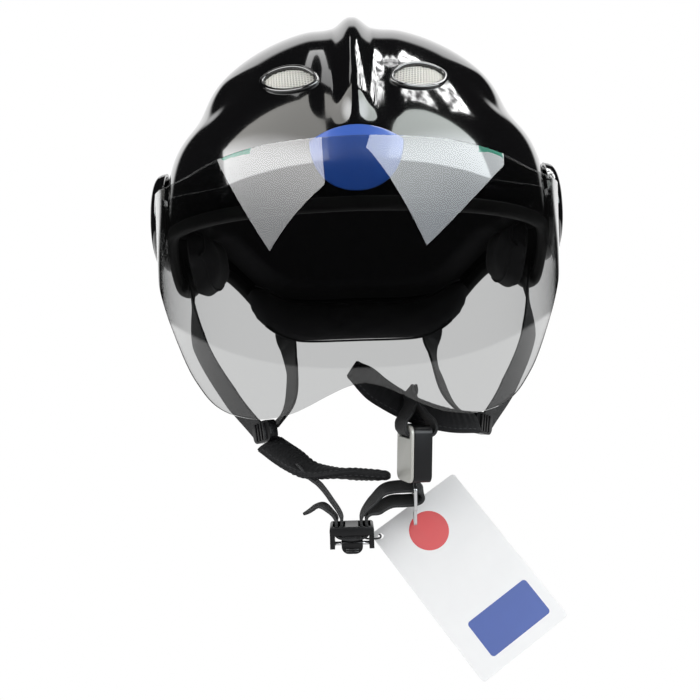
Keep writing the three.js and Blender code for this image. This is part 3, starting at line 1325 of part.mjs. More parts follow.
// One band of webbing: right sleeve, strap lock, round the tongue's bar, strap lock again, free tail
function adjusterWeb(grow) {
  const slot = (TONGUE_SLOT_OUTER + TONGUE_SLOT_INNER) / 2;
  const lane = WEB_THICKNESS * WEB_LANE_SHARE;
  const turned = radians(TONGUE_TILT_DEGREES);
  const atLock = (x, z) => LOCK.clone().add(vec(x, 0, z));
  const atBar = (x, z) => TONGUE_BAR.clone().add(vec(x, -z * Math.sin(turned), z * Math.cos(turned)));
  const round = WEB_THICKNESS * WEB_ROUND_SHARE;
  const [innerDip, innerFloor] = WEB_INNER_LOCK_SHARES.map((share) => -LOCK_HEIGHT * share);
  const [outerDip, outerFloor] = WEB_OUTER_LOCK_SHARES.map((share) => -LOCK_HEIGHT * share);
  const level = vec(0, 1, 0);
  const tilted = vec(0, Math.cos(turned), Math.sin(turned));
  const stretches = [
    [level, WEB_FROM_SLEEVE_PLACES],
    [level, [
      atLock(lane - LOCK_PASS, WEB_LOCK_RISE),
      atLock(lane - LOCK_PASS, innerDip),
      atLock(0, innerFloor),
      atLock(LOCK_PASS - lane, innerDip),
      atLock(LOCK_PASS - lane, WEB_LOCK_RISE),
    ]],
    [tilted, [
      ...WEB_TO_TONGUE_STEPS.map((step) => TONGUE_BAR.clone().add(step)),
      atBar(-WEB_TONGUE_REACH, slot * WEB_REACH_SHARES[0]),
      ...WEB_BAR_SHARES.map(([out, up]) => atBar(round * out, slot * up)),
      atBar(-WEB_TONGUE_REACH, slot * WEB_REACH_SHARES[1]),
      ...WEB_FROM_TONGUE_STEPS.map((step) => TONGUE_BAR.clone().add(step)),
    ]],
    [level, [
      atLock(LOCK_PASS + lane, WEB_LOCK_RISE),
      atLock(LOCK_PASS + lane, outerDip),
      atLock(LOCK_PASS / 2, outerFloor),
      atLock(-LOCK_PASS / 2, outerFloor),
      atLock(-LOCK_PASS - lane, outerDip),
      atLock(-LOCK_PASS - lane, WEB_TAIL_RISE),
      ...WEB_TAIL_PLACES,
    ]],
  ];
  const places = stretches.flatMap(([, points]) => points);
  const widths = stretches.flatMap(([width, points]) => points.map(() => width));
  return solidOf(band(places, widths, WEB_WIDTH + grow * 2, WEB_THICKNESS + grow * 2, 66));
}

// Strap lock: a cross bar with two arms, and a tab on a pin between the arms
function makeLockBody() {
  let body = roundedPlate(LOCK_WIDTH, LOCK_HEIGHT, LOCK_DEPTH, LOCK_CORNER);
  for (const sign of [-1, 1]) {
    body = body.subtract(block(LOCK_LANE_WIDTH, WEB_WIDTH + GAP * 4, OVERRUN * 2, sign * LOCK_PASS, 0, 0));
    const armX = sign * (LOCK_WIDTH / 2 - LOCK_ARM_WIDTH / 2);
    const armZ = -LOCK_HEIGHT / 2 - LOCK_ARM_HEIGHT / 2;
    const arm = block(LOCK_ARM_WIDTH, LOCK_ARM_DEPTH, LOCK_ARM_HEIGHT + GAP, armX, 0, armZ + GAP / 2);
    body = body.add(arm);
  }
  body = body.subtract(lockPin(GAP));
  body = body.translate([LOCK.x, LOCK.y, LOCK.z]).subtract(adjusterWeb(GAP));
  const eyeletY = CORD_CENTRE.y - CORD_HALF_DEPTH;
  const eyeletFrom = CORD_CENTRE.x - LOCK_TAB_BARREL * 2;
  const eyelet = barX(LOCK_EYELET_RADIUS, eyeletFrom, CORD_CENTRE.x + OVERRUN, eyeletY, CORD_CENTRE.z);
  return largest(body.subtract(eyelet));
}

function lockPin(grow) {
  const half = LOCK_WIDTH / 2 + grow;
  return barX(LOCK_PIN_RADIUS + grow, -half, half, 0, -LOCK_PIN_DROP, 12);
}

function makeLockPin() {
  return lockPin(0).translate([LOCK.x, LOCK.y, LOCK.z]);
}

function makeLockTab() {
  const width = LOCK_TAB_WIDTH;
  const height = LOCK_TAB_DROP * 2;
  const upper = block(width, LOCK_TAB_THICKNESS * 2, LOCK_TAB_DROP, 0, 0, LOCK_TAB_DROP / 2);
  let tab = roundedPlate(width, height, LOCK_TAB_THICKNESS, LOCK_TAB_CORNER, 5)
    .subtract(upper)
    .translate([0, 0, -LOCK_PIN_DROP]);
  tab = tab.add(barX(LOCK_TAB_BARREL, -width / 2, width / 2, 0, -LOCK_PIN_DROP, 16));
  const pitch = (LOCK_TAB_DROP - LOCK_TAB_BARREL) / (LOCK_TAB_RIB_COUNT + 1);
  for (let i = 0; i < LOCK_TAB_RIB_COUNT; i += 1) {
    const z = -LOCK_PIN_DROP - LOCK_TAB_BARREL - pitch * (i + 1);
    tab = tab.add(barX(LOCK_TAB_RIB, -LOCK_TAB_RIB_HALF, LOCK_TAB_RIB_HALF, -LOCK_TAB_THICKNESS / 2, z, 8));
  }
  return tab.subtract(lockPin(GAP)).translate([LOCK.x, LOCK.y, LOCK.z]);
}

// Swing tag, hung by a corner hole from a small cord loop through the strap lock's eyelet
function makeTag() {
  const card = roundedPlate(TAG_WIDTH, TAG_LENGTH, TAG_THICKNESS, TAG_CORNER)
    .translate([TAG_WIDTH / 2 - TAG_HOLE_INSET, 0, TAG_HOLE_INSET - TAG_LENGTH / 2]);
  const bore = barX(TAG_HOLE_RADIUS, -OVERRUN, OVERRUN, 0, 0, 16).rotate([0, 0, 90]);
  return card.subtract(bore)
    .rotate([0, -TAG_TURN_DEGREES, 0])
    .rotate([-TAG_TILT_DEGREES, 0, 0])
    .translate([CORD_CENTRE.x + CORD_HALF_WIDTH, CORD_CENTRE.y, CORD_CENTRE.z]);
}

function makeTagCord() {
  const count = 20;
  const sides = 5;
  const reach = (value) => Math.sign(value) * Math.abs(value) ** (2 / CORD_SQUARE_SHARE);
  const path = Array.from({ length: count }, (_, i) => {
    const turn = (i / count) * Math.PI * 2;
    return CORD_CENTRE.clone()
      .add(vec(CORD_HALF_WIDTH * reach(Math.cos(turn)), CORD_HALF_DEPTH * reach(Math.sin(turn)), 0));
  });
  const rings = path.map((point, i) => {
    const along = path[(i + 1) % count].clone().sub(path[(i + count - 1) % count]).normalize();
    const side = along.clone().cross(vec(0, 0, 1)).normalize();
    return Array.from({ length: sides }, (_, j) => {
      const t = (j / sides) * Math.PI * 2;
      return point.clone()
        .addScaledVector(side, Math.cos(t) * CORD_RADIUS)
        .add(vec(0, 0, Math.sin(t) * CORD_RADIUS));
    });
  });
  return solidOf(loft(rings, true));
}

function material(color, roughness, metalness) {
  return new THREE.MeshStandardMaterial({ color, roughness, metalness });
}

const GLOSS_BLACK = material(0x0a0a0b, 0.08, 0);
const SATIN_BLACK = material(0x141415, 0.45, 0);
const RUBBER = material(0x101011, 0.7, 0);
const FOAM = material(0x1b1b1d, 0.9, 0);
const CLOTH = material(0x161617, 0.95, 0);
const WEBBING = material(0x121213, 0.8, 0);
const CLEAR = material(0xcfd6d8, 0.05, 0);
CLEAR.transparent = true;
CLEAR.opacity = 0.35;
const STEEL = material(0xb9bbbd, 0.3, 1);
const MESH_METAL = material(0xc8c9c6, 0.4, 0.8);
const BLUE = material(0x1f5fb4, 0.3, 0);
const GREY = material(0xa9aba6, 0.45, 0.3);
const CARD = material(0xdedede, 0.6, 0);

const helmet = new THREE.Group();

function add(name, piece, finish) {
  const geometry = piece.isBufferGeometry ? piece : geometryOf(piece);
  const mesh = new THREE.Mesh(geometry, finish);
  mesh.name = name;
  helmet.add(mesh);
}

add("outer_shell", makeShell(), GLOSS_BLACK);
add("edge_trim", makeTrim(), RUBBER);
add("forehead_badge", makeBadge(), BLUE);
add("impact_liner", makeLiner(), FOAM);
add("brow_pad", makeBrowPad(), CLOTH);
add("crown_pad", makeCrownPad(), CLOTH);
add("neck_roll", makeNeckRoll(), CLOTH);
add("visor", makeVisor(), CLEAR);
for (const { name, sign } of SIDES) {
  add(`vent_mesh_${name}`, makeVentMesh(sign), MESH_METAL);
  add(`ear_pad_${name}`, makeEarPad(sign), CLOTH);
  add(`pivot_base_${name}`, makeBase(sign), SATIN_BLACK);
  add(`pivot_nut_${name}`, makeNut(sign), STEEL);
  add(`pivot_washer_${name}`, makeWasher(sign), SATIN_BLACK);
  add(`pivot_screw_${name}`, makeScrew(sign), STEEL);
  add(`pivot_cover_${name}`, makeCover(sign), GLOSS_BLACK);
  add(`front_rivet_${name}`, makeRivet(FRONT_ANCHOR, sign), SATIN_BLACK);
  add(`rear_rivet_${name}`, makeRivet(REAR_ANCHOR, sign), SATIN_BLACK);
  const place = DIVIDER_PLACES[name];
  add(`front_leg_${name}`, mirrored(makeFrontLeg(place), sign), WEBBING);
  add(`rear_leg_${name}`, mirrored(makeRearLeg(place), sign), WEBBING);
  add(`divider_${name}`, mirrored(dividerBody(place, 0), sign), SATIN_BLACK);
}
add("chin_sleeve_right", rightSleeve(0), CLOTH);
add("chin_sleeve_left", leftSleeve(0), CLOTH);
add("buckle_housing", placeBuckle(makeBuckleHousing()), SATIN_BLACK);
add("buckle_face", placeBuckle(makeBuckleFace()), GREY);
add("buckle_button", placeBuckle(makeButton()), SATIN_BLACK);
add("buckle_spring", placeBuckle(makeSpring()), STEEL);
add("buckle_web", makeBuckleWeb(), WEBBING);
add("tongue_plate", makeTongue(), STEEL);
add("adjuster_web", largest(adjusterWeb(0).subtract(rightSleeve(GAP))), WEBBING);
add("lock_body", makeLockBody(), SATIN_BLACK);
add("lock_pin", makeLockPin(), STEEL);
add("lock_tab", makeLockTab(), SATIN_BLACK);
add("hang_tag", makeTag(), CARD);
add("tag_cord", makeTagCord(), CLOTH);

export default helmet;
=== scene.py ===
"""Paramotor helmet: glossy keeled shell, clear visor, padded lining, unfastened chin strap, swing tag."""

import json
import math

import bmesh
import bpy
import numpy as np
from mathutils import Euler, Matrix, Vector

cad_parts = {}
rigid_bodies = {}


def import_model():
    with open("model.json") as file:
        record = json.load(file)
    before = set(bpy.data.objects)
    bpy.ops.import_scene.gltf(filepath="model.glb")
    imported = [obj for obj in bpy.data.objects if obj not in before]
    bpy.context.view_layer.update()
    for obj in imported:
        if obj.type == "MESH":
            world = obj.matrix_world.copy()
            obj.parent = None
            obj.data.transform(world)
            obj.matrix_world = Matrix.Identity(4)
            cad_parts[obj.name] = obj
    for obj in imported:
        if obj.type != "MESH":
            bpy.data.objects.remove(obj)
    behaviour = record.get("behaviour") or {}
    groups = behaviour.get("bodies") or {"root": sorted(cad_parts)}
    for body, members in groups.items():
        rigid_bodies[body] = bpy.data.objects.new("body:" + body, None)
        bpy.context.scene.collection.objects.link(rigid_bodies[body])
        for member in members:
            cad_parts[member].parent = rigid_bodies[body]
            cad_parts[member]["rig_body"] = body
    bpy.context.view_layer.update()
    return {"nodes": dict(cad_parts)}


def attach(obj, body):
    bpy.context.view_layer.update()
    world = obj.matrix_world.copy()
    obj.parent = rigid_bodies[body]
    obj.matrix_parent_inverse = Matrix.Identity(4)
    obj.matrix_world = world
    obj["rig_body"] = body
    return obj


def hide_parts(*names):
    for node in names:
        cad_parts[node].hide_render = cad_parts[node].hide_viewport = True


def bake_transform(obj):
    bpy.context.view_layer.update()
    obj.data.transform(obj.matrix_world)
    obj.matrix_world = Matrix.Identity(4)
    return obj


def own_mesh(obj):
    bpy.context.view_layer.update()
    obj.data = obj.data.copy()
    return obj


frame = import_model()
NODES = frame["nodes"]

MM = 0.001

# Camera, fitted to the photograph
CAMERA_MM = (-6.63, -696.17, -65.17)
CAMERA_PITCH_DEGREES = -1.492
CAMERA_ROLL_DEGREES = 1.75
CAMERA_LENS = 56.6
SENSOR = 36.0
CAMERA_CLIP = (0.01, 30.0)

# Shell, millimetres
HALF_WIDTH, FRONT, BACK, TOP, LOW = 118.5, 127.0, 128.0, 116.0, 150.0
CENTRE_Y = 2.0
SHELL_WALL = 2.6
KEEL_HEIGHT, KEEL_TOP_HALF, KEEL_HALF_WIDTH = 5.0, 1.0, 12.0
KEEL_FADE = (34.0, 56.0)
VALLEY_DEPTH, VALLEY_PLACE, VALLEY_SPREAD = 1.2, 16.0, 8.0
WAIST_DEPTH, WAIST_ELEVATION, WAIST_SPREAD = 4.6, 31.0, 8.5
WAIST_FADE_IN, WAIST_FADE_OUT = (30.0, 55.0), (125.0, 165.0)
BROW_Z, BROW_CORNER_Z, FLAP_Z, EAR_NOTCH_Z, NAPE_Z = -6.0, -15.0, -45.0, -32.0, -75.0
SHELL_COLUMNS = ((0, 36, 80), (36, 180, 90))
SHELL_OUTER_ROWS, SHELL_INNER_ROWS = 110, 36
PIVOT_BORE, PIVOT_BORE_START, PIVOT_BORE_END = 4.0, 100.0, 130.0
ANCHOR_BORE, ANCHOR_CUT_REACH = 2.5, 10.0

# Trim, vents and badge
GAP, SOFT_GAP, SEAT_GAP = 0.3, 0.4, 1.0
TRIM_WALL, TRIM_LEG, TRIM_COLUMNS = 1.3, 5.5, 150
CORNER_SHARES = 0.2, 0.8
TRIM_TIP_SHARE, TRIM_BEAD_SHARE, TRIM_BEAD_FROM_SHARE, TRIM_BEAD_TO_SHARE = 0.8, 1.4, 0.2, 0.8
VENT_AZIMUTH, VENT_ELEVATION = 20.5, 33.5
VENT_HALF_LENGTH, VENT_HALF_HEIGHT = 16.0, 8.0
VENT_TURN, VENT_EYE_POWER = 13.0, 1.15
VENT_LIP_WIDTH, VENT_LIP_HEIGHT = 3.0, 1.8
VENT_LIP_STEPS, VENT_LIP_FULLNESS, VENT_LIP_ROOT_SHARE, VENT_LIP_DEPTH_SHARE = 13, 0.7, 0.8, 0.6
VENT_OUTLINE_POINTS, VENT_CUT_REACH = 96, 12.0
VENT_CELL, VENT_ROW_SHARE, VENT_LOOP_SHARE, VENT_WIRE_SHARE = 1.9, 0.866, 0.56, 0.33
VENT_MESH_INSET, VENT_MESH_MARGIN = 0.9, 0.2
BADGE_HALF_WIDTH, BADGE_HEIGHT, BADGE_Z, BADGE_THICKNESS = 25.0, 36.0, 20.0, 1.1
BADGE_CURVE_SHARES = (((0, -1), (0.7, -1), (1, -0.2), (1, 0.55)),
                      ((1, 0.55), (0.7, 0.85), (0.367, 1), (0, 1)))
BADGE_CURVE_STEPS = 28
BADGE_EDGE_SHARES = ((1.0, 0.0), (1.0, 0.55), (0.985, 0.9))
BADGE_FACE_FROM_SHARE, BADGE_FACE_TO_SHARE, BADGE_FACE_RINGS = 0.96, 0.04, 16

# Lining
LINER_THICKNESS = 24.0
LINER_BROW_Z, LINER_EAR_Z, LINER_NAPE_Z = 1.0, -10.0, -50.0
LINER_COLUMNS, LINER_ROWS, LINER_EDGE_SHARE = 90, 30, 0.985
LINER_EDGE_OUTER_STEP, LINER_EDGE_INNER_STEP = 2.0, 3.0
PAD_THICKNESS, PAD_EDGE, PAD_SWELL_ROOM = 8.0, 1.2, 0.6
PAD_RIM_SHARE, PAD_CROWN_SHARE, PAD_GROOVE_SHARE, PAD_GROOVE_SPREAD = 0.14, 0.86, 0.35, 0.25
BROW_PAD_HEIGHT, BROW_PAD_HALF_DEGREES, BROW_PAD_CHANNELS, BROW_PIPING = 28.0, 56.0, 5, 0.7
CROWN_PAD_DEGREES, CROWN_PAD_CHANNEL, CROWN_PAD_SPREAD, CROWN_PIPING = 30.0, 2.0, 0.3, 0.7
CROWN_PAD_COLUMNS, CROWN_PAD_ROWS = 120, 18
EAR_PAD_THICKNESS, EAR_PAD_DEGREES, EAR_PAD_DROP = 21.0, (73.0, 113.0), 3.5
EAR_PAD_SWELL_ROOM, EAR_PAD_STAND, EAR_PAD_EDGE, EAR_PIPING = 2.5, 0.6, 1.0, 0.8
NECK_ROLL_THICKNESS, NECK_ROLL_DEGREES = 20.0, (131.0, 229.0)
NECK_ROLL_Z, NECK_ROLL_SEAT, NECK_ROLL_SWELL_ROOM, NECK_PIPING = -80.0, 2.5, 0.8, 0.8
NECK_ROLL_END_SHARE, NECK_ROLL_TAPER_SHARE, NECK_ROLL_LOW_SHARE = 0.15, 0.85, 0.9
NECK_ROLL_STEPS, NECK_ROLL_SIDES = 90, 28
SWELL_FRAMES, SWELL_QUALITY, SWELL_MASS = 20, 4, 0.3
PIPING_SIDES = 6

# Visor
VISOR_HALF_WIDTH, VISOR_DEPTH, VISOR_THICKNESS = 123.2, 145.0, 2.2
VISOR_BULGE_RADIUS, VISOR_SIDE_RADIUS, VISOR_BULGE_Z = 700.0, 1400.0, -30.0
VISOR_ROUNDNESS, VISOR_TAB_BACK, VISOR_TAB_HALF = 2.2, 17.0, 14.0
VISOR_TOP_Z, VISOR_NOSE_Z, VISOR_CORNER_Z = 28.0, -96.5, -114.5
VISOR_TAB_TURN, VISOR_TAB_STEPS, VISOR_ROWS, VISOR_BORE_START = 84.0, 18, 34, 110.0
COVER_HALF_WIDTH, COVER_HALF_HEIGHT, COVER_APEX_X, COVER_SKIRT_X = 25.0, 31.0, 128.3, 118.0
COVER_WALL, COVER_SIDES, COVER_SLIT_ROWS = 1.4, 96, 12
COVER_DOME_SHARES = ((1, 0), (0.985, 0.25), (0.955, 0.46), (0.9, 0.62), (0.82, 0.745), (0.7, 0.855),
                     (0.55, 0.94), (0.42, 0.985), (0.32, 1.0))

# Edges of the hard pieces
EDGE_DEGREES, FLAT_DEGREES, MERGE_DISTANCE = 35.0, 1.5, 1e-6
SHARP_DEGREES, ROUND_DEGREES, COIL_DEGREES = 40, 50, 60

# Straps
WEB_WIDTH, WEB_THICKNESS = 15.0, 1.6
RIVET_HEAD, RIVET_HEAD_HEIGHT, RIVET_SHANK, RIVET_SIDES = 4.8, 1.4, 2.2, 40
RIVET_OUTER_SHARES = ((1, 0.35), (0.93, 0.62), (0.72, 0.85), (0.35, 0.98), (0, 1))
RIVET_INNER_SHARES = ((0, 1), (0.4, 0.97), (0.8, 0.75), (1, 0.35))
RIVET_WEB_END, RIVET_FLAT = 6.5, 8.0
FRONT_ANCHOR, REAR_ANCHOR = (94.0, -33.5), (151.0, -60.0)
DIVIDER_PLACES = {"right": Vector((56, -76, -126)), "left": Vector((66, -74, -125))}
DIVIDER_TURN, DIVIDER_LEAN = 56.0, 12.0
LEG_STEPS, LEG_BOX = 150, (2, 20)
BOX_HALF_SHARE, BOX_SINK_SHARE, BOX_PITCH, BOX_STITCH = 0.36, 0.45, 1.9, (0.75, 0.22)
STITCH_HEIGHT_SHARE, STITCH_LOOK = 0.8, 0.2
SLEEVE_WIDTH, SLEEVE_THICKNESS, SLEEVE_STEPS, SLEEVE_SIDES = 20.0, 6.5, 120, 32
SLEEVE_FLATNESS, SLEEVE_END_SHARE, SLEEVE_SEAM = 0.7, 0.45, 0.65
SLEEVE_PITCH, SLEEVE_STITCH = 3.0, (1.05, 0.26)
CREASE_SHARE, CREASE_PACE, CREASE_WANDER, CREASE_WANDER_PACE = 0.10, 0.95, 0.8, 0.31
BUCKLE_TOP = Vector((27.3, -113, -121))
BUCKLE_TURN, BUCKLE_TILT, BUCKLE_BAR_Z = -72.0, 2.5, -5.1
BUCKLE_HALF, BUCKLE_FACE_THICKNESS = 5.0, 1.6
TONGUE_BAR, TONGUE_TILT = Vector((26, -102, -159.3)), 15.0
TONGUE_SLOT_INNER, TONGUE_SLOT_OUTER = 1.9, 5.6
LOCK = Vector((-8.6, -106, -176.4))
LOCK_HEIGHT, LOCK_PASS = 4.5, 6.8
BUCKLE_WEB_STEPS, BUCKLE_WEB_BLEND = 150, 14.0
ADJUSTER_STEPS, ADJUSTER_BOX = 420, (404, 417)
ADJUSTER_LANE_SHARE, ADJUSTER_ROUND_SHARE, ADJUSTER_REACH = 0.9, 2.75, 5.0
ADJUSTER_LOCK_RISE, ADJUSTER_TAIL_RISE = 6.0, 4.8

# Tag
TAG_WIDTH, TAG_LENGTH, TAG_THICKNESS, TAG_CORNER = 58.0, 98.0, 0.8, 2.0
TAG_HOLE_RADIUS, TAG_HOLE_INSET = 1.6, 4.0
TAG_TURN, TAG_TILT = 35.0, 24.0
TAG_HOLE_CUT, TAG_HOLE_SIDES = 4.0, 40
TAG_DISC, TAG_DISC_RADIUS, TAG_DISC_SIDES = (23.0, -13.5), 11.0, 72
TAG_BLOCK, TAG_BLOCK_SIZE, TAG_BLOCK_CORNER = (28.0, -76.0), (40.0, 22.0), 2.0
PRINT_THICKNESS, PRINT_STAND = 0.05, 0.03
TAG_MIDDLE = (TAG_WIDTH / 2 - TAG_HOLE_INSET, TAG_HOLE_INSET - TAG_LENGTH / 2)
CORD_CENTRE = Vector((2.6, -94, -183.6))
CORD_HALF_WIDTH, CORD_HALF_DEPTH, CORD_RADIUS, CORD_SQUARENESS = 4.6, 7.0, 0.5, 2.8
CORD_STEPS, CORD_SIDES = 120, 12

WEB_INSET = SHELL_WALL + SEAT_GAP + TRIM_WALL + SEAT_GAP
RIVET_SEAT = WEB_INSET + WEB_THICKNESS + GAP
LINER_INSET = SHELL_WALL + GAP
LINER_INNER = LINER_INSET + LINER_THICKNESS


def make_camera():
    data = bpy.data.cameras.new("camera")
    data.lens, data.sensor_width = CAMERA_LENS, SENSOR
    data.clip_start, data.clip_end = CAMERA_CLIP
    camera = bpy.data.objects.new("camera", data)
    bpy.context.scene.collection.objects.link(camera)
    tip = Matrix.Rotation(math.radians(90 + CAMERA_PITCH_DEGREES), 4, "X")
    roll = Matrix.Rotation(math.radians(-CAMERA_ROLL_DEGREES), 4, "Z")
    camera.matrix_world = Matrix.Translation(Vector(CAMERA_MM) * MM) @ tip @ roll
    bpy.context.scene.camera = camera


make_camera()


# Meshes

def mesh_object(name, points, faces, body="helmet_body", uv=None):
    """A smooth object from points in millimetres, with an optional UV for each point."""
    mesh = bpy.data.meshes.new(name)
    mesh.from_pydata([tuple(p) for p in np.asarray(points, float) * MM], [], faces)
    mesh.validate()
    if uv is not None:
        layer = mesh.uv_layers.new(name="weave")
        index = np.empty(len(mesh.loops), np.int32)
        mesh.loops.foreach_get("vertex_index", index)
        layer.data.foreach_set("uv", np.asarray(uv, np.float32)[index].ravel())
    mesh.shade_smooth()
    obj = bpy.data.objects.new(name, mesh)
    bpy.context.scene.collection.objects.link(obj)
    obj["body"] = body
    return obj


def finish_piece(obj, finish, slot, *nodes):
    """Gives a piece its material and its body, and hides the CAD nodes that it stands for; the slot is not
    used.
    """
    outward(obj)
    obj.data.materials.clear()
    obj.data.materials.append(finish)
    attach(obj, obj["body"])
    if nodes:
        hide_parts(*nodes)
    return obj


def outward(obj):
    """Turns a closed mesh's faces outward."""
    work = bmesh.new()
    work.from_mesh(obj.data)
    bmesh.ops.recalc_face_normals(work, faces=work.faces)
    work.to_mesh(obj.data)
    work.free()


def ring_faces(rows, columns, closed=False):
    """Faces between rings of points, row after row."""
    faces = []
    for i in range(rows if closed else rows - 1):
        for j in range(columns):
            a, b = i * columns + j, i * columns + (j + 1) % columns
            c = ((i + 1) % rows) * columns
            faces.append((a, b, c + (j + 1) % columns, c + j))
    return faces


def loft(rings, closed=False):
    """Points and faces of a skin through equal rings, capped at its ends unless it closes on itself."""
    rings = np.asarray(rings, float)
    rows, columns = rings.shape[:2]
    points = rings.reshape(-1, 3)
    faces = ring_faces(rows, columns, closed)
    if not closed:
        hubs = np.array([rings[0].mean(axis=0), rings[-1].mean(axis=0)])
        first = len(points)
        points = np.vstack([points, hubs])
        for j in range(columns):
            k = (j + 1) % columns
            faces.append((first, k, j))
            faces.append((first + 1, (rows - 1) * columns + j, (rows - 1) * columns + k))
    return points, faces


def pole_skin(first, rings, last):
    """Points and faces of a skin through equal rings, closed at a pole at each end."""
    rings = np.asarray(rings, float)
    rows, columns = rings.shape[:2]
    points = np.vstack([rings.reshape(-1, 3), first, last])
    faces = ring_faces(rows, columns)
    for j in range(columns):
        k = (j + 1) % columns
        faces.append((rows * columns, k, j))
        faces.append((rows * columns + 1, (rows - 1) * columns + j, (rows - 1) * columns + k))
    return points, faces


def sheet(outer, inner):
    """Points and faces of a thick sheet from two equal grids."""
    outer, inner = np.asarray(outer, float), np.asarray(inner, float)
    rows, columns = outer.shape[:2]
    points = np.vstack([outer.reshape(-1, 3), inner.reshape(-1, 3)])
    faces = []
    for side in (0, rows * columns):
        for i in range(rows - 1):
            for j in range(columns - 1):
                a = side + i * columns + j
                face = (a, a + 1, a + columns + 1, a + columns)
                faces.append(face if side == 0 else face[::-1])
    rim = list(range(columns - 1))
    rim += [i * columns + columns - 1 for i in range(rows - 1)]
    rim += [(rows - 1) * columns + j for j in range(columns - 1, 0, -1)]
    rim += [i * columns for i in range(rows - 1, 0, -1)]
    for a, b in zip(rim, rim[1:] + rim[:1]):
        faces.append((a, a + rows * columns, b + rows * columns, b))
    return points, faces


def cut(obj, *tools):
    """Takes other objects out of one, and deletes them."""
    for tool in tools:
        cutter = obj.modifiers.new("cut", "BOOLEAN")
        cutter.operation, cutter.solver, cutter.object = "DIFFERENCE", "EXACT", tool
        apply_modifiers(obj)
        bpy.data.objects.remove(tool)


def apply_modifiers(obj):
    """Puts the evaluated mesh in the place of the modifiers."""
    bpy.context.view_layer.update()
    graph = bpy.context.evaluated_depsgraph_get()
    mesh = bpy.data.meshes.new_from_object(obj.evaluated_get(graph), depsgraph=graph)
    obj.modifiers.clear()
    old = obj.data
    obj.data = mesh
    bpy.data.meshes.remove(old)


def crisp(obj, degrees):
    """Smooth shading that keeps edges sharper than an angle."""
    obj.data.shade_smooth()
    obj.data.set_sharp_from_angle(angle=math.radians(degrees))
    return obj


# The shell's surface

LOWEST_ELEVATION, HIGHEST_ELEVATION, HALVINGS = -70, 80, 40


def smooth(low, high, value):
    """0 below one value and 1 above another, smooth between."""
    t = np.clip((np.asarray(value, float) - low) / (high - low), 0, 1)
    return t * t * (3 - 2 * t)


def mix(a, b, share):
    return a + (b - a) * share


def unit_direction(degrees, elevation):
    """Directions for azimuths in degrees and elevations in radians."""
    a = np.radians(degrees)
    level = np.cos(elevation)
    return np.stack([level * np.sin(a), -level * np.cos(a), np.sin(elevation) + 0 * a], -1)


def shell_radius(d, plain=False):
    """The shell's distance from its centre in a direction, without keel and valleys where plain."""
    length = np.where(d[..., 1] < 0, FRONT, BACK)
    height = np.where(d[..., 2] > 0, TOP, LOW)
    shares = (d[..., 0] / HALF_WIDTH) ** 2 + (d[..., 1] / length) ** 2 + (d[..., 2] / height) ** 2
    radius = 1 / np.sqrt(shares)
    elevation = np.degrees(np.arcsin(np.clip(d[..., 2], -1, 1)))
    azimuth = np.degrees(np.abs(np.arctan2(d[..., 0], -d[..., 1])))
    across, up = np.abs(radius * d[..., 0]), radius * d[..., 2]
    waist = np.exp(-(((elevation - WAIST_ELEVATION) / WAIST_SPREAD) ** 2))
    waist = waist * smooth(*WAIST_FADE_IN, azimuth) * (1 - smooth(*WAIST_FADE_OUT, azimuth))
    radius = radius - WAIST_DEPTH * waist
    if not plain:
        keel = KEEL_HEIGHT * (1 - smooth(KEEL_TOP_HALF, KEEL_HALF_WIDTH, across))
        keel = keel - VALLEY_DEPTH * np.exp(-(((across - VALLEY_PLACE) / VALLEY_SPREAD) ** 2))
        radius = radius + keel * smooth(*KEEL_FADE, up)
    return radius


def shell_point(degrees, elevation, inset=0.0, plain=False):
    d = unit_direction(np.asarray(degrees, float), np.asarray(elevation, float))
    return d * (shell_radius(d, plain) - inset)[..., None] + (0, CENTRE_Y, 0)


def on_shell(place, inset=0.0, plain=False):
    """The surface's point on the line from the shell's centre through each place."""
    d = np.asarray(place, float) - (0, CENTRE_Y, 0)
    d = d / np.linalg.norm(d, axis=-1, keepdims=True)
    return d * (shell_radius(d, plain) - inset)[..., None] + (0, CENTRE_Y, 0)


def elevation_at(degrees, height, inset=0.0, plain=False):
    """The elevation at which the surface reaches a height, found by halving."""
    degrees, height = np.broadcast_arrays(np.asarray(degrees, float), np.asarray(height, float))
    low = np.full(degrees.shape, math.radians(LOWEST_ELEVATION))
    high = np.full(degrees.shape, math.radians(HIGHEST_ELEVATION))
    for _ in range(HALVINGS):
        middle = (low + high) / 2
        below = shell_point(degrees, middle, inset, plain)[..., 2] < height
        low, high = np.where(below, middle, low), np.where(below, high, middle)
    return (low + high) / 2


def edge_curve(rows):
    """A smooth curve through rows of (degrees, value), the same on both sides."""
    at = [row[0] for row in rows]
    value = [row[1] for row in rows]

    def one(degrees):
        d = min(abs(degrees), 360 - abs(degrees))
        i = next((k for k, a in enumerate(at) if a >= d), len(at) - 1)
        if i == 0:
            return value[0]
        d0, v0, d1, v1 = at[i - 1], value[i - 1], at[i], value[i]
        before = (at[i - 2], value[i - 2]) if i >= 2 else (2 * d0 - d1, v0)
        after = (at[i + 1], value[i + 1]) if i + 1 < len(at) else (2 * d1 - d0, v1)
        m0 = (v1 - before[1]) / (d1 - before[0]) * (d1 - d0)
        m1 = (after[1] - v0) / (after[0] - d0) * (d1 - d0)
        t = (d - d0) / (d1 - d0)
        return (v0 * (2 * t**3 - 3 * t**2 + 1) + m0 * (t**3 - 2 * t**2 + t)
                + v1 * (3 * t**2 - 2 * t**3) + m1 * (t**3 - t**2))

    return np.vectorize(one, otypes=[float])


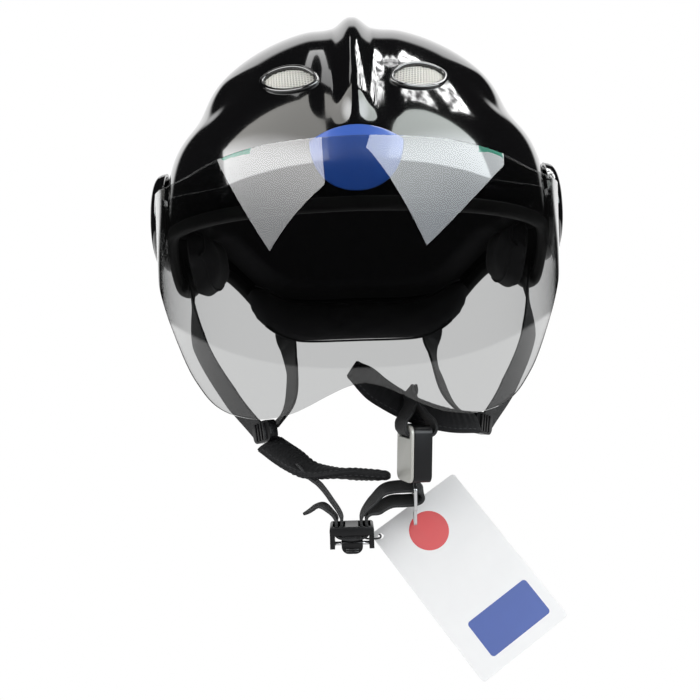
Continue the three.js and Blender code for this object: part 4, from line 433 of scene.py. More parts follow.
rim_height = edge_curve([
    (0, BROW_Z), (32, mix(BROW_Z, BROW_CORNER_Z, 0.16)), (58, mix(BROW_Z, BROW_CORNER_Z, 0.6)),
    (69, BROW_CORNER_Z), (77, mix(BROW_CORNER_Z, FLAP_Z, 0.4)), (84, mix(BROW_CORNER_Z, FLAP_Z, 0.86)),
    (92, FLAP_Z), (102, FLAP_Z), (111, mix(FLAP_Z, EAR_NOTCH_Z, 0.4)), (120, mix(FLAP_Z, EAR_NOTCH_Z, 0.9)),
    (127, EAR_NOTCH_Z), (134, mix(EAR_NOTCH_Z, NAPE_Z, 0.2)), (141, mix(EAR_NOTCH_Z, NAPE_Z, 0.54)),
    (149, mix(EAR_NOTCH_Z, NAPE_Z, 0.91)), (160, NAPE_Z), (180, NAPE_Z),
])
liner_edge = edge_curve([
    (0, LINER_BROW_Z), (50, LINER_BROW_Z), (68, mix(LINER_BROW_Z, LINER_EAR_Z, 0.5)), (82, LINER_EAR_Z),
    (118, LINER_EAR_Z), (130, mix(LINER_EAR_Z, LINER_NAPE_Z, 0.3)),
    (145, mix(LINER_EAR_Z, LINER_NAPE_Z, 0.85)), (158, LINER_NAPE_Z), (180, LINER_NAPE_Z),
])


def even_shares(count):
    return np.arange(1, count + 1) / count


def dome_rings(columns, rows, edge, inset, plain, reference):
    """Rings from the crown to an edge, at shares of the way down."""
    bottoms = elevation_at(columns, edge(columns), reference, plain)
    return [shell_point(columns, mix(math.pi / 2, bottoms, share), inset, plain) for share in rows]


def dome_wall(columns, outer_rows, inner_rows, edge, outer_inset, inner_inset, plain_outer):
    outer = dome_rings(columns, outer_rows, edge, outer_inset, plain_outer, outer_inset)
    inner = dome_rings(columns, inner_rows, edge, inner_inset, True, outer_inset)[::-1]
    top = shell_point(0, math.pi / 2, outer_inset, plain_outer)
    ceiling = shell_point(0, math.pi / 2, inner_inset, True)
    return pole_skin(top, outer + inner, ceiling)


def on_wall(degrees, height, inset):
    return shell_point(degrees, elevation_at(degrees, height, inset, True), inset, True)


def columns_of(*stretches):
    """Column angles for half the shell, (from, to, count) a stretch, mirrored to a full turn."""
    half = np.concatenate([np.linspace(a, b, n, endpoint=False) for a, b, n in stretches] + [[180.0]])
    return np.concatenate([half, 360 - half[-2:0:-1]])


# Shader maths

class Socket:
    """A value in a node tree: an operator on it adds a Math node."""

    def __init__(self, tree, out):
        self.tree, self.out = tree, out

    def maths(self, operation, *others):
        return self.tree.node("ShaderNodeMath", (self, *others), operation=operation)

    def __add__(self, other):
        return self.maths("ADD", other)

    def __sub__(self, other):
        return self.maths("SUBTRACT", other)

    def __rsub__(self, other):
        return self.tree.node("ShaderNodeMath", (other, self), operation="SUBTRACT")

    def __mul__(self, other):
        return self.maths("MULTIPLY", other)

    __radd__, __rmul__ = __add__, __mul__

    def sine(self):
        return self.maths("SINE")

    def size(self):
        return self.maths("ABSOLUTE")

    def larger(self, other):
        return self.maths("MAXIMUM", other)

    def smaller(self, other):
        return self.maths("MINIMUM", other)

    def ramp(self, low, high):
        """0 below one value and 1 above another, smooth between."""
        return self.tree.node("ShaderNodeMapRange", (self, low, high), interpolation_type="SMOOTHSTEP")


class NodeTree:
    """A node tree whose nodes all come from one method."""

    def __init__(self, tree):
        self.tree = tree

    def node(self, kind, inputs=(), out=0, **settings):
        """A new node: its settings first, then its inputs by place or by name. Gives one of its outputs."""
        node = self.tree.nodes.new(kind)
        for key, value in settings.items():
            setattr(node, key, value)
        for key, value in inputs.items() if isinstance(inputs, dict) else enumerate(inputs):
            self.feed(node.inputs[key], value)
        return Socket(self, node.outputs[out]) if node.outputs else None

    def feed(self, socket, value):
        if isinstance(value, Socket):
            self.tree.links.new(value.out, socket)
        else:
            socket.default_value = value

    def axes(self, vector):
        """X, Y and Z of a vector."""
        first = self.node("ShaderNodeSeparateXYZ", (vector,))
        return [Socket(self, out) for out in first.out.node.outputs]


class Surface(NodeTree):
    """A material, with short ways to set its shader's inputs."""

    def __init__(self, name, **values):
        self.material = bpy.data.materials.new(name)
        self.material.use_nodes = True
        super().__init__(self.material.node_tree)
        self.shader = self.tree.nodes["Principled BSDF"]
        for key, value in values.items():
            self.set(key.replace("_", " ").title().replace("Ior", "IOR"), value)

    def set(self, name, value):
        if isinstance(value, tuple) and len(value) == 3:
            value = (*value, 1.0)
        self.feed(self.shader.inputs[name], value)

    def place(self):
        """X, Y and Z of the piece's own coordinates, in millimetres."""
        return [axis * (1 / MM) for axis in self.axes(self.node("ShaderNodeTexCoord", out="Object"))]

    def weave_place(self):
        """Along and across a band, in millimetres."""
        return self.axes(self.node("ShaderNodeUVMap", uv_map="weave"))[:2]

    def noise(self, scale, detail):
        place = self.node("ShaderNodeTexCoord", out="Object")
        return self.node("ShaderNodeTexNoise", {"Vector": place, "Scale": scale, "Detail": detail})

    def colour(self, share, first, second):
        """A colour between two others, the first of which may come from a node."""
        first = first if isinstance(first, Socket) else (*first, 1)
        return self.node("ShaderNodeMix", {0: share, 6: first, 7: (*second, 1)}, out=2, data_type="RGBA")

    def bump(self, height, distance, strength):
        """Relief from a height, with its distance in millimetres."""
        inputs = {"Strength": strength, "Distance": distance * MM, "Height": height}
        self.set("Normal", self.node("ShaderNodeBump", inputs))


def lacquer():
    s = Surface("black_lacquer", base_color=(0.004, 0.004, 0.0045), roughness=0.09, coat_weight=0.6,
                coat_roughness=0.02, ior=1.5)
    s.bump(s.noise(45, 2), 0.05, 0.12)
    return s.material


def rubber():
    s = Surface("black_rubber", base_color=(0.005, 0.005, 0.005), roughness=0.55, specular_ior_level=0.15)
    s.bump(s.noise(1200, 2), 0.05, 0.3)
    return s.material


def badge_blue():
    s = Surface("blue_plate", base_color=(0.012, 0.105, 0.56), roughness=0.3, coat_weight=0.5,
                coat_roughness=0.05)
    s.bump(s.noise(300, 2), 0.03, 0.2)
    return s.material


def foam():
    s = Surface("black_foam", base_color=(0.006, 0.006, 0.007), roughness=0.85, specular_ior_level=0.2)
    place = s.node("ShaderNodeTexCoord", out="Object")
    cells = s.node("ShaderNodeTexVoronoi", {"Vector": place, "Scale": 420}, feature="F1")
    s.bump(cells, 0.25, 0.5)
    return s.material


def cloth():
    s = Surface("lining_cloth", base_color=(0.009, 0.009, 0.01), roughness=0.92, sheen_weight=0.04,
                sheen_roughness=0.5, specular_ior_level=0.2)
    x, y, z = s.place()
    knit = (x * 4.2).sine() * (z * 4.2).sine() + (y * 4.2).sine() * (x * 2.1).sine()
    s.bump(knit + s.noise(90, 3) * 2.0, 0.09, 0.5)
    return s.material


def sleeve_cloth():
    s = Surface("sleeve_cloth", roughness=0.78, sheen_weight=0.03, sheen_roughness=0.4,
                specular_ior_level=0.15)
    along, across = s.weave_place()
    ribs = (along * 5.2).sine() * (across * 5.2).sine()
    s.set("Base Color", s.colour(s.noise(140, 3), (0.005, 0.005, 0.006), (0.012, 0.012, 0.013)))
    s.bump(ribs * 0.5 + s.noise(70, 3), 0.12, 0.55)
    return s.material


def webbing():
    s = Surface("webbing", roughness=0.65, sheen_weight=0.03, specular_ior_level=0.25)
    along, across = s.weave_place()
    warp = (across * 4.6).sine().size()
    weft = (along * 3.6 + (across * 2.3).sine() * 1.5).sine().size()
    height = warp * 0.6 + weft * 0.4
    # The base colour follows the weave's height, darker in its dips and lighter on its crests: painted shade
    # in the weave's hollows.
    s.set("Base Color", s.colour(height, (0.004, 0.004, 0.005), (0.012, 0.012, 0.013)))
    s.bump(height, 0.22, 0.8)
    return s.material


def clear_plastic():
    s = Surface("clear_visor", base_color=(0.555, 0.56, 0.56), roughness=0.0, ior=1.5,
                transmission_weight=1.0)
    return s.material


def black_plastic():
    s = Surface("satin_black", base_color=(0.005, 0.005, 0.006), roughness=0.34, specular_ior_level=0.22)
    s.bump(s.noise(900, 2), 0.03, 0.25)
    return s.material


def grey_plastic():
    s = Surface("grey_plate", base_color=(0.42, 0.42, 0.39), roughness=0.4, metallic=0.1)
    s.bump(s.noise(700, 2), 0.02, 0.2)
    return s.material


def steel():
    s = Surface("steel", base_color=(0.52, 0.52, 0.53), roughness=0.28, metallic=1.0)
    s.bump(s.noise(1500, 1), 0.02, 0.15)
    return s.material


def mesh_metal():
    s = Surface("vent_metal", roughness=0.42, metallic=0.15)
    s.set("Base Color", s.colour(s.noise(260, 2), (0.66, 0.65, 0.6), (0.78, 0.77, 0.72)))
    s.bump(s.noise(900, 1), 0.02, 0.3)
    return s.material


def thread():
    s = Surface("thread", base_color=(0.02, 0.02, 0.022), roughness=0.65, specular_ior_level=0.3)
    x, y, z = s.place()
    s.bump(((x + y + z) * 7.0).sine(), 0.06, 0.6)
    return s.material


def printed(name, first, second, roughness):
    """Ink or bare stock on card: a faint mottle and a fine tooth."""
    s = Surface(name, roughness=roughness, specular_ior_level=0.35)
    s.set("Base Color", s.colour(s.noise(60, 4), first, second))
    s.bump(s.noise(1500, 3), 0.02, 0.25)
    return s.material


LACQUER, RUBBER, BLUE, FOAM, CLOTH = lacquer(), rubber(), badge_blue(), foam(), cloth()
SLEEVE, WEBBING, CLEAR = sleeve_cloth(), webbing(), clear_plastic()
PLASTIC, GREY, STEEL, MESH_METAL = black_plastic(), grey_plastic(), steel(), mesh_metal()
THREAD = thread()
CARD = printed("card", (0.78, 0.785, 0.795), (0.84, 0.845, 0.85), 0.5)
PRINT_RED = printed("print_red", (0.58, 0.03, 0.035), (0.66, 0.045, 0.05), 0.45)
PRINT_BLUE = printed("print_blue", (0.012, 0.05, 0.27), (0.018, 0.065, 0.33), 0.45)


# Repeats, placed by a node tree

COPY_INPUTS = {"Points": "NodeSocketGeometry", "Length": "NodeSocketFloat", "Width": "NodeSocketFloat",
               "Height": "NodeSocketFloat", "Material": "NodeSocketMaterial"}


def copies_tree(form_name):
    """Sets a small form on points, with its sizes and its material as named inputs."""
    group = bpy.data.node_groups.new(f"{form_name}_copies", "GeometryNodeTree")
    for name, kind in COPY_INPUTS.items():
        group.interface.new_socket(name, in_out="INPUT", socket_type=kind)
    group.interface.new_socket("Geometry", in_out="OUTPUT", socket_type="NodeSocketGeometry")
    tree = NodeTree(group)

    def given(name):
        return tree.node("NodeGroupInput", out=name)

    if form_name == "ball":
        form = tree.node("GeometryNodeMeshIcoSphere", {"Radius": 1.0, "Subdivisions": 2}, out="Mesh")
    else:
        circle = "GeometryNodeCurvePrimitiveCircle"
        ring = tree.node(circle, {"Resolution": 6, "Radius": 1.0}, out="Curve")
        wire = tree.node(circle, {"Resolution": 5, "Radius": VENT_WIRE_SHARE}, out="Curve")
        form = tree.node("GeometryNodeCurveToMesh", {"Curve": ring, "Profile Curve": wire}, out="Mesh")
    turn = tree.node("GeometryNodeInputNamedAttribute", {"Name": "turn"}, out="Attribute",
                     data_type="FLOAT_VECTOR")
    facing = tree.node("FunctionNodeEulerToRotation", (turn,))
    size = tree.node("ShaderNodeCombineXYZ", (given("Length"), given("Width"), given("Height")))
    copies = tree.node("GeometryNodeInstanceOnPoints",
                       {"Points": given("Points"), "Instance": form, "Rotation": facing, "Scale": size})
    whole = tree.node("GeometryNodeRealizeInstances", (copies,))
    painted = tree.node("GeometryNodeSetMaterial", {"Geometry": whole, "Material": given("Material")})
    tree.node("NodeGroupOutput", (painted,))
    return group


COPIES = {form_name: copies_tree(form_name) for form_name in ("ball", "loop")}


def repeated(name, places, turns, size, material, form_name):
    """Small copies at places in millimetres, turned by Euler angles, made one plain mesh."""
    mesh = bpy.data.meshes.new(name)
    mesh.from_pydata([tuple(Vector(p) * MM) for p in places], [], [])
    turn = mesh.attributes.new("turn", "FLOAT_VECTOR", "POINT")
    turn.data.foreach_set("vector", np.asarray(turns, np.float32).ravel())
    obj = bpy.data.objects.new(name, mesh)
    bpy.context.scene.collection.objects.link(obj)
    modifier = obj.modifiers.new("copies", "NODES")
    modifier.node_group = COPIES[form_name]
    values = dict(zip(("Length", "Width", "Height"), Vector(size) * MM), Material=material)
    for item in modifier.node_group.interface.items_tree:
        if item.name in values:
            modifier[item.identifier] = values[item.name]
    apply_modifiers(obj)
    obj.data.shade_smooth()
    obj["body"] = "helmet_body"
    return obj


def turn_to(along, normal):
    """Euler angles that put X along one direction and Z near another."""
    x = Vector(along).normalized()
    y = Vector(normal).cross(x).normalized()
    z = x.cross(y)
    return tuple(Matrix((x, y, z)).transposed().to_euler())


def stitch_row(name, path, normals, pitch, slot, size):
    """A row of raised stitches along a path, of a length and width."""
    path, normals = np.asarray(path, float), np.asarray(normals, float)
    steps = np.linalg.norm(np.diff(path, axis=0), axis=1)
    run = np.concatenate([[0], np.cumsum(steps)])
    at = np.arange(pitch / 2, run[-1], pitch)

    def along(rows, where):
        return np.stack([np.interp(where, run, rows[:, k]) for k in range(3)], -1)

    steps = along(path, at + STITCH_LOOK) - along(path, at - STITCH_LOOK)
    turns = [turn_to(step, up) for step, up in zip(steps, along(normals, at))]
    length, width = size
    row = repeated(name, along(path, at), turns, (length, width, width * STITCH_HEIGHT_SHARE), THREAD, "ball")
    finish_piece(row, THREAD, slot)


# Shell, trim, vents and badge

def round_turn(count):
    """Angles evenly round a circle."""
    return np.linspace(0, 2 * math.pi, count, endpoint=False)


def circle_about(axis, count):
    """Points of a unit circle about an axis."""
    first = axis.orthogonal().normalized()
    second = axis.cross(first)
    turn = round_turn(count)
    return np.outer(np.cos(turn), first) + np.outer(np.sin(turn), second)


def eye_outline(half_length, half_height, sign):
    """An eye shape, turned so that its inner corner is the lower one."""
    t = round_turn(VENT_OUTLINE_POINTS)
    rise = np.sign(np.sin(t)) * np.abs(np.sin(t)) ** VENT_EYE_POWER
    return turned_eye(half_length * np.cos(t), half_height * rise, sign)


def turned_eye(along, up, sign):
    turn = math.radians(VENT_TURN) * sign
    return np.stack([along * math.cos(turn) - up * math.sin(turn),
                     along * math.sin(turn) + up * math.cos(turn)], -1)


def plane_at(degrees, elevation):
    """The surface point at a direction, with its sideways, upward and outward directions."""
    a = math.radians(degrees)
    normal = unit_direction(degrees, elevation)
    sideways = np.array([math.cos(a), math.sin(a), 0])
    return shell_point(degrees, elevation), sideways, np.cross(normal, sideways), normal


def prism(name, outline, degrees, elevation, reach):
    """A block with an outline, as far inwards as outwards from the surface."""
    place, sideways, upward, normal = plane_at(degrees, elevation)
    flat = place + outline[:, :1] * sideways + outline[:, 1:] * upward
    return mesh_object(name, *loft([flat - normal * reach, flat + normal * reach]))


def bar(name, radius, start, end, sides=48):
    """A round bar between two points."""
    start, end = Vector(start), Vector(end)
    ring = circle_about((end - start).normalized(), sides)
    return mesh_object(name, *loft([ring * radius + start, ring * radius + end]))


def anchor_frame(anchor, sign):
    """A strap anchor's place on the shell and the direction inwards."""
    surface = on_wall(anchor[0] * sign, anchor[1], 0)
    inward = np.array((0, CENTRE_Y, 0)) - surface
    return surface, inward / np.linalg.norm(inward)


def make_shell():
    columns = columns_of(*SHELL_COLUMNS)
    wall = dome_wall(columns, even_shares(SHELL_OUTER_ROWS), even_shares(SHELL_INNER_ROWS), rim_height, 0,
                     SHELL_WALL, False)
    shell = mesh_object("shell", *wall)
    tools = []
    for sign in (-1, 1):
        eye = eye_outline(VENT_HALF_LENGTH, VENT_HALF_HEIGHT, sign)
        tools.append(prism("vent", eye, VENT_AZIMUTH * sign, math.radians(VENT_ELEVATION), VENT_CUT_REACH))
        tools.append(bar("bore", PIVOT_BORE, (sign * PIVOT_BORE_START, 0, 0), (sign * PIVOT_BORE_END, 0, 0)))
        for anchor in (FRONT_ANCHOR, REAR_ANCHOR):
            surface, inward = anchor_frame(anchor, sign)
            reach = inward * ANCHOR_CUT_REACH
            tools.append(bar("bore", ANCHOR_BORE, surface - reach, surface + reach))
    cut(shell, *tools)
    finish_piece(crisp(shell, SHARP_DEGREES), LACQUER, "shell", "outer_shell")


def make_lip(sign):
    """The raised rim of a vent, rounded over."""
    place, sideways, upward, _ = plane_at(VENT_AZIMUTH * sign, math.radians(VENT_ELEVATION))
    rings = []
    for turn in np.linspace(0, math.pi, VENT_LIP_STEPS):
        reach = VENT_LIP_WIDTH * (1 - math.cos(turn)) / 2
        outline = eye_outline(VENT_HALF_LENGTH + reach, VENT_HALF_HEIGHT + reach, sign)
        flat = place + outline[:, :1] * sideways + outline[:, 1:] * upward
        rings.append(on_shell(flat, -VENT_LIP_HEIGHT * math.sin(turn) ** VENT_LIP_FULLNESS))
    for reach in (VENT_LIP_WIDTH * VENT_LIP_ROOT_SHARE, 0.0):
        outline = eye_outline(VENT_HALF_LENGTH + reach, VENT_HALF_HEIGHT + reach, sign)
        flat = place + outline[:, :1] * sideways + outline[:, 1:] * upward
        rings.append(on_shell(flat, SHELL_WALL * VENT_LIP_DEPTH_SHARE))
    side = "left" if sign > 0 else "right"
    lip = mesh_object(f"vent_lip_{side}", *loft(rings, closed=True))
    finish_piece(crisp(lip, ROUND_DEGREES), LACQUER, "shell")


def make_vent_mesh(sign, side):
    """Hexagon wire rings on the vent's curved floor."""
    place, sideways, upward, _ = plane_at(VENT_AZIMUTH * sign, math.radians(VENT_ELEVATION))
    places, turns = [], []
    rows = int(VENT_HALF_HEIGHT / (VENT_CELL * VENT_ROW_SHARE)) + 1
    for i in range(-rows, rows + 1):
        for j in np.arange(-VENT_HALF_LENGTH, VENT_HALF_LENGTH, VENT_CELL) + (i % 2) * VENT_CELL / 2:
            b = i * VENT_CELL * VENT_ROW_SHARE
            share = min(abs(j) / VENT_HALF_LENGTH, 1)
            room = VENT_HALF_HEIGHT * (1 - share * share) ** (VENT_EYE_POWER / 2)
            if abs(b) > room - VENT_MESH_MARGIN:
                continue
            along, up = turned_eye(j, b, sign)
            point = on_shell(place + along * sideways + up * upward, VENT_MESH_INSET)
            places.append(point)
            turns.append(turn_to(sideways, point - np.array([0, CENTRE_Y, 0])))
    size = (VENT_CELL * VENT_LOOP_SHARE,) * 3
    mesh = repeated(f"vent_mesh_{side}_wire", places, turns, size, MESH_METAL, "loop")
    finish_piece(mesh, MESH_METAL, "steel", f"vent_mesh_{side}")


def badge_outline():
    """Two curves up one side of the badge, and their mirror image."""
    size = np.array([BADGE_HALF_WIDTH, BADGE_HEIGHT / 2])
    t = np.linspace(0, 1, BADGE_CURVE_STEPS, endpoint=False)[:, None]
    right = []
    for a, b, c, d in np.array(BADGE_CURVE_SHARES) * size:
        right.append((1 - t) ** 3 * a + 3 * (1 - t) ** 2 * t * b + 3 * (1 - t) * t * t * c + t**3 * d)
    right = np.vstack(right)
    left = np.vstack([[(0, BADGE_HEIGHT / 2)], right[:0:-1]]) * (-1, 1)
    return np.vstack([right, left])


def make_badge():
    elevation = float(elevation_at(0, BADGE_Z))
    place, sideways, upward, _ = plane_at(0, elevation)
    outline = badge_outline()
    rings = []
    face = np.linspace(BADGE_FACE_FROM_SHARE, BADGE_FACE_TO_SHARE, BADGE_FACE_RINGS)
    for scale, rise in [*BADGE_EDGE_SHARES, *((share, 1.0) for share in face)]:
        flat = place + outline[:, :1] * scale * sideways + outline[:, 1:] * scale * upward
        rings.append(on_shell(flat, -GAP - BADGE_THICKNESS * rise))
    top = on_shell(place, -GAP - BADGE_THICKNESS)
    floor = on_shell(place, -GAP)
    badge = mesh_object("badge_plate", *pole_skin(floor, rings, top))
    finish_piece(crisp(badge, SHARP_DEGREES), BLUE, "blue_plate", "forehead_badge")


def rounded(polygon):
    """A closed polygon with its corners cut off twice."""
    near, far = CORNER_SHARES
    for _ in range(2):
        after = np.roll(polygon, -1, axis=0)
        pair = polygon * far + after * near, polygon * near + after * far
        polygon = np.stack(pair, 1).reshape(-1, polygon.shape[-1])
    return polygon


def make_trim():
    columns = columns_of((0, 180, TRIM_COLUMNS))
    rim = shell_point(columns, elevation_at(columns, rim_height(columns)))
    rings = []
    for i, point in enumerate(rim):
        along = rim[(i + 1) % len(rim)] - rim[i - 1]
        away = np.cross(along, point - (0, CENTRE_Y, 0))
        away = away / np.linalg.norm(away)
        away = -away if away[2] > 0 else away
        tip = point - away * TRIM_LEG
        inside = SHELL_WALL + SEAT_GAP + TRIM_WALL

        def lift(inset, drop):
            return on_shell(point, inset, inset > 0) + away * drop

        section = [
            on_shell(tip, -GAP), on_shell(tip, -GAP - TRIM_WALL * TRIM_TIP_SHARE),
            on_shell(tip + away, -GAP - TRIM_WALL), lift(-GAP - TRIM_WALL, GAP),
            lift(SHELL_WALL * TRIM_BEAD_FROM_SHARE, GAP + TRIM_WALL * TRIM_BEAD_SHARE),
            lift(SHELL_WALL * TRIM_BEAD_TO_SHARE, GAP + TRIM_WALL * TRIM_BEAD_SHARE),
            lift(inside, GAP), on_shell(tip, inside, True),
            on_shell(tip, inside - TRIM_WALL, True), lift(inside - TRIM_WALL, GAP), lift(-GAP, GAP),
        ]
        rings.append(rounded(np.array(section)))
    trim = mesh_object("edge_beading", *loft(rings, closed=True))
    finish_piece(trim, RUBBER, "rubber", "edge_trim")


make_shell()
for side_sign, side_name in ((-1, "right"), (1, "left")):
    make_lip(side_sign)
    make_vent_mesh(side_sign, side_name)
make_badge()
make_trim()


# Lining

def make_liner():
    columns = columns_of((0, 180, LINER_COLUMNS))
    shares = np.append(even_shares(LINER_ROWS)[:-1], LINER_EDGE_SHARE)
    outer = dome_rings(columns, shares, liner_edge, LINER_INSET, True, 0)
    inner = dome_rings(columns, shares, liner_edge, LINER_INNER, True, 0)
    edge = dome_rings(columns, [1.0], liner_edge, LINER_INSET + LINER_EDGE_OUTER_STEP, True, 0)
    edge += dome_rings(columns, [1.0], liner_edge, LINER_INNER - LINER_EDGE_INNER_STEP, True, 0)
    top = shell_point(0, math.pi / 2, LINER_INSET, True)
    ceiling = shell_point(0, math.pi / 2, LINER_INNER, True)
    liner = mesh_object("liner_foam", *pole_skin(top, outer + edge + inner[::-1], ceiling))
    finish_piece(liner, FOAM, "foam", "impact_liner")


def lined_pad(name, columns, rows, from_degrees, to_degrees, low, high, inset, thickness, channels):
    """A cushion against the inside of the lining, crowned towards the head."""
    u = np.linspace(-1, 1, columns + 1)
    v = np.linspace(-1, 1, rows + 1)
    degrees = mix(from_degrees, to_degrees, (u + 1) / 2)
    outer, inner = [], []
    for at in v:
        height = mix(low(degrees), high(degrees), (at + 1) / 2)
        crown = np.sqrt(np.clip((1 - u**6) * (1 - at**4), 0, 1))
        groove = 1
        if channels:
            wave = np.sin(u * math.pi * channels / 2) / PAD_GROOVE_SPREAD
            groove = 1 - PAD_GROOVE_SHARE * np.exp(-(wave**2))
        depth = thickness * (PAD_RIM_SHARE + PAD_CROWN_SHARE * crown * groove)
        elevation = elevation_at(degrees, height, inset, True)
        d = unit_direction(degrees, elevation)
        radius = shell_radius(d, True) - inset
        outer.append(d * radius[:, None] + (0, CENTRE_Y, 0))
        inner.append(d * (radius - depth)[:, None] + (0, CENTRE_Y, 0))
    return mesh_object(name, *sheet(outer, inner)), np.array(inner)


def puff(obj, voxel, pressure, cap):
    """Swells a cushion with a short cloth simulation; no point moves further than the cap."""
    even = obj.modifiers.new("even", "REMESH")
    even.mode, even.voxel_size = "VOXEL", voxel * MM
    apply_modifiers(obj)
    count = len(obj.data.vertices)
    rest = np.empty(count * 3, np.float32)
    obj.data.vertices.foreach_get("co", rest)
    cloth_modifier = obj.modifiers.new("cloth", "CLOTH")
    settings = cloth_modifier.settings
    settings.quality, settings.mass = SWELL_QUALITY, SWELL_MASS
    settings.use_pressure, settings.uniform_pressure_force = True, pressure
    settings.effector_weights.gravity = 0
    cache = cloth_modifier.point_cache
    cache.frame_start, cache.frame_end = 1, SWELL_FRAMES
    for number in range(1, SWELL_FRAMES + 1):
        bpy.context.scene.frame_set(number)
    shaped = obj.evaluated_get(bpy.context.evaluated_depsgraph_get())
    moved = np.empty(count * 3, np.float32)
    shaped.data.vertices.foreach_get("co", moved)
    obj.modifiers.clear()
    bpy.context.scene.frame_set(1)
    step = (moved - rest).reshape(-1, 3)
    size = np.linalg.norm(step, axis=1, keepdims=True)
    step *= np.minimum(1, cap * MM / np.maximum(size, 1e-9))
    obj.data.vertices.foreach_set("co", (rest.reshape(-1, 3) + step).ravel())
    softer = obj.modifiers.new("softer", "SUBSURF")
    softer.levels = 1
    apply_modifiers(obj)
    obj.data.shade_smooth()
    return obj


def tube(name, path, radius, sides, closed=True):
    """A cord along a path of points."""
    path = np.asarray(path, float)
    rings = []
    up = None
    for i, point in enumerate(path):
        before = path[i - 1] if closed or i else point
        after = path[(i + 1) % len(path)] if closed or i + 1 < len(path) else point
        along = Vector(after - before).normalized()
        side = along.orthogonal().normalized() if up is None else (up - along * up.dot(along)).normalized()
        up = side
        other = along.cross(side)
        turn = round_turn(sides)
        ring = np.outer(np.cos(turn) * radius, side) + np.outer(np.sin(turn) * radius, other)
        rings.append(ring + point)
    return mesh_object(name, *loft(rings, closed))


def piping(name, grid, radius):
    """A sewn cord round a grid of points, one row in from its border."""
    inner = grid[1:-1, 1:-1]
    path = [*inner[0], *inner[1:, -1], *inner[-1, -2::-1], *inner[-2:0:-1, 0]]
    finish_piece(tube(name, path, radius, PIPING_SIDES), CLOTH, "cloth")


def make_brow_pad():
    def low(degrees):
        return LINER_BROW_Z + SOFT_GAP + 0 * degrees

    def high(degrees):
        return LINER_BROW_Z + BROW_PAD_HEIGHT + 0 * degrees

    half = BROW_PAD_HALF_DEGREES
    pad, grid = lined_pad("brow_cushion", 110, 18, -half, half, low, high, LINER_INNER,
                          PAD_THICKNESS - PAD_SWELL_ROOM, BROW_PAD_CHANNELS)
    puff(pad, voxel=2.6, pressure=3, cap=1.6)
    finish_piece(pad, CLOTH, "cloth", "brow_pad")
    piping("brow_piping", grid, BROW_PIPING)


def make_crown_pad():
    inset = LINER_INNER
    thickness = PAD_THICKNESS - PAD_SWELL_ROOM
    columns = np.linspace(0, 360, CROWN_PAD_COLUMNS, endpoint=False)
    outer, inner = [], []
    for share in even_shares(CROWN_PAD_ROWS):
        crown = math.sqrt(1 - share**4)
        elevation = math.radians(90 - CROWN_PAD_DEGREES * share)
        wave = np.sin(np.radians(columns) * 2) / CROWN_PAD_SPREAD
        groove = CROWN_PAD_CHANNEL * np.exp(-(wave**2)) * share
        depth = mix(PAD_EDGE, thickness - groove, crown)
        outer.append(shell_point(columns, elevation + 0 * columns, inset, True))
        d = unit_direction(columns, elevation + 0 * columns)
        inner.append(d * (shell_radius(d, True) - inset - depth)[:, None] + (0, CENTRE_Y, 0))
    top = shell_point(0, math.pi / 2, inset, True)
    bottom = shell_point(0, math.pi / 2, inset + PAD_THICKNESS - PAD_SWELL_ROOM, True)
    pad = mesh_object("crown_cushion", *pole_skin(top, outer + inner[::-1], bottom))
    puff(pad, voxel=3, pressure=3, cap=1.6)
    finish_piece(pad, CLOTH, "cloth", "crown_pad")
    cord = tube("crown_piping", inner[-2], CROWN_PIPING, PIPING_SIDES)
    finish_piece(cord, CLOTH, "cloth")


def make_ear_pad(sign, side):
    low_clear = EAR_PAD_EDGE - EAR_PAD_DROP
    inset = RIVET_SEAT + RIVET_HEAD_HEIGHT + SEAT_GAP + EAR_PAD_STAND
    start, end = (degrees * sign for degrees in EAR_PAD_DEGREES)
    pad, grid = lined_pad(
        f"ear_cushion_{side}", 50, 30, start, end, lambda d: rim_height(d) + low_clear,
        lambda d: liner_edge(d) - SOFT_GAP - EAR_PAD_EDGE, inset, EAR_PAD_THICKNESS - EAR_PAD_SWELL_ROOM, 0)
    puff(pad, voxel=3, pressure=4, cap=2.2)
    finish_piece(pad, CLOTH, "cloth", f"ear_pad_{side}")
    piping(f"ear_piping_{side}", grid, EAR_PIPING)


def make_neck_roll():
    sides, room = NECK_ROLL_SIDES, NECK_ROLL_SWELL_ROOM
    inset = RIVET_SEAT + RIVET_HEAD_HEIGHT + NECK_ROLL_SEAT
    turn = round_turn(sides)
    rings = []
    for share in np.linspace(0, 1, NECK_ROLL_STEPS + 1):
        degrees = mix(*NECK_ROLL_DEGREES, share)
        taper = math.sqrt(max(1 - abs(share * 2 - 1) ** 5, 0)) * NECK_ROLL_TAPER_SHARE + NECK_ROLL_END_SHARE
        top = float(liner_edge(degrees)) - SOFT_GAP - room
        bottom = mix(float(rim_height(degrees)), NECK_ROLL_Z, NECK_ROLL_LOW_SHARE) + room
        half, thick = (top - bottom) / 2 * taper, (NECK_ROLL_THICKNESS / 2 - room) * taper
        height = (top + bottom) / 2 + np.sin(turn) * half
        depth = inset + room + thick * (1 + np.cos(turn))
        ring = [on_wall(degrees, h, i) for h, i in zip(height, depth)]
        rings.append(np.array(ring))
    roll = mesh_object("nape_roll", *loft(rings))
    puff(roll, voxel=3.2, pressure=4, cap=2.5)
    finish_piece(roll, CLOTH, "cloth", "neck_roll")
    rings = np.array(rings)
    for name, k in (("nape_piping_low", sides * 3 // 4), ("nape_piping_top", sides // 4)):
        seam = tube(name, rings[3:-3, k], NECK_PIPING, PIPING_SIDES, closed=False)
        finish_piece(seam, CLOTH, "cloth")


make_liner()
make_brow_pad()
make_crown_pad()
for side_sign, side_name in ((-1, "right"), (1, "left")):
    make_ear_pad(side_sign, side_name)
make_neck_roll()


# Visor

def visor_width(z):
    return VISOR_HALF_WIDTH - z * z / (2 * VISOR_SIDE_RADIUS)


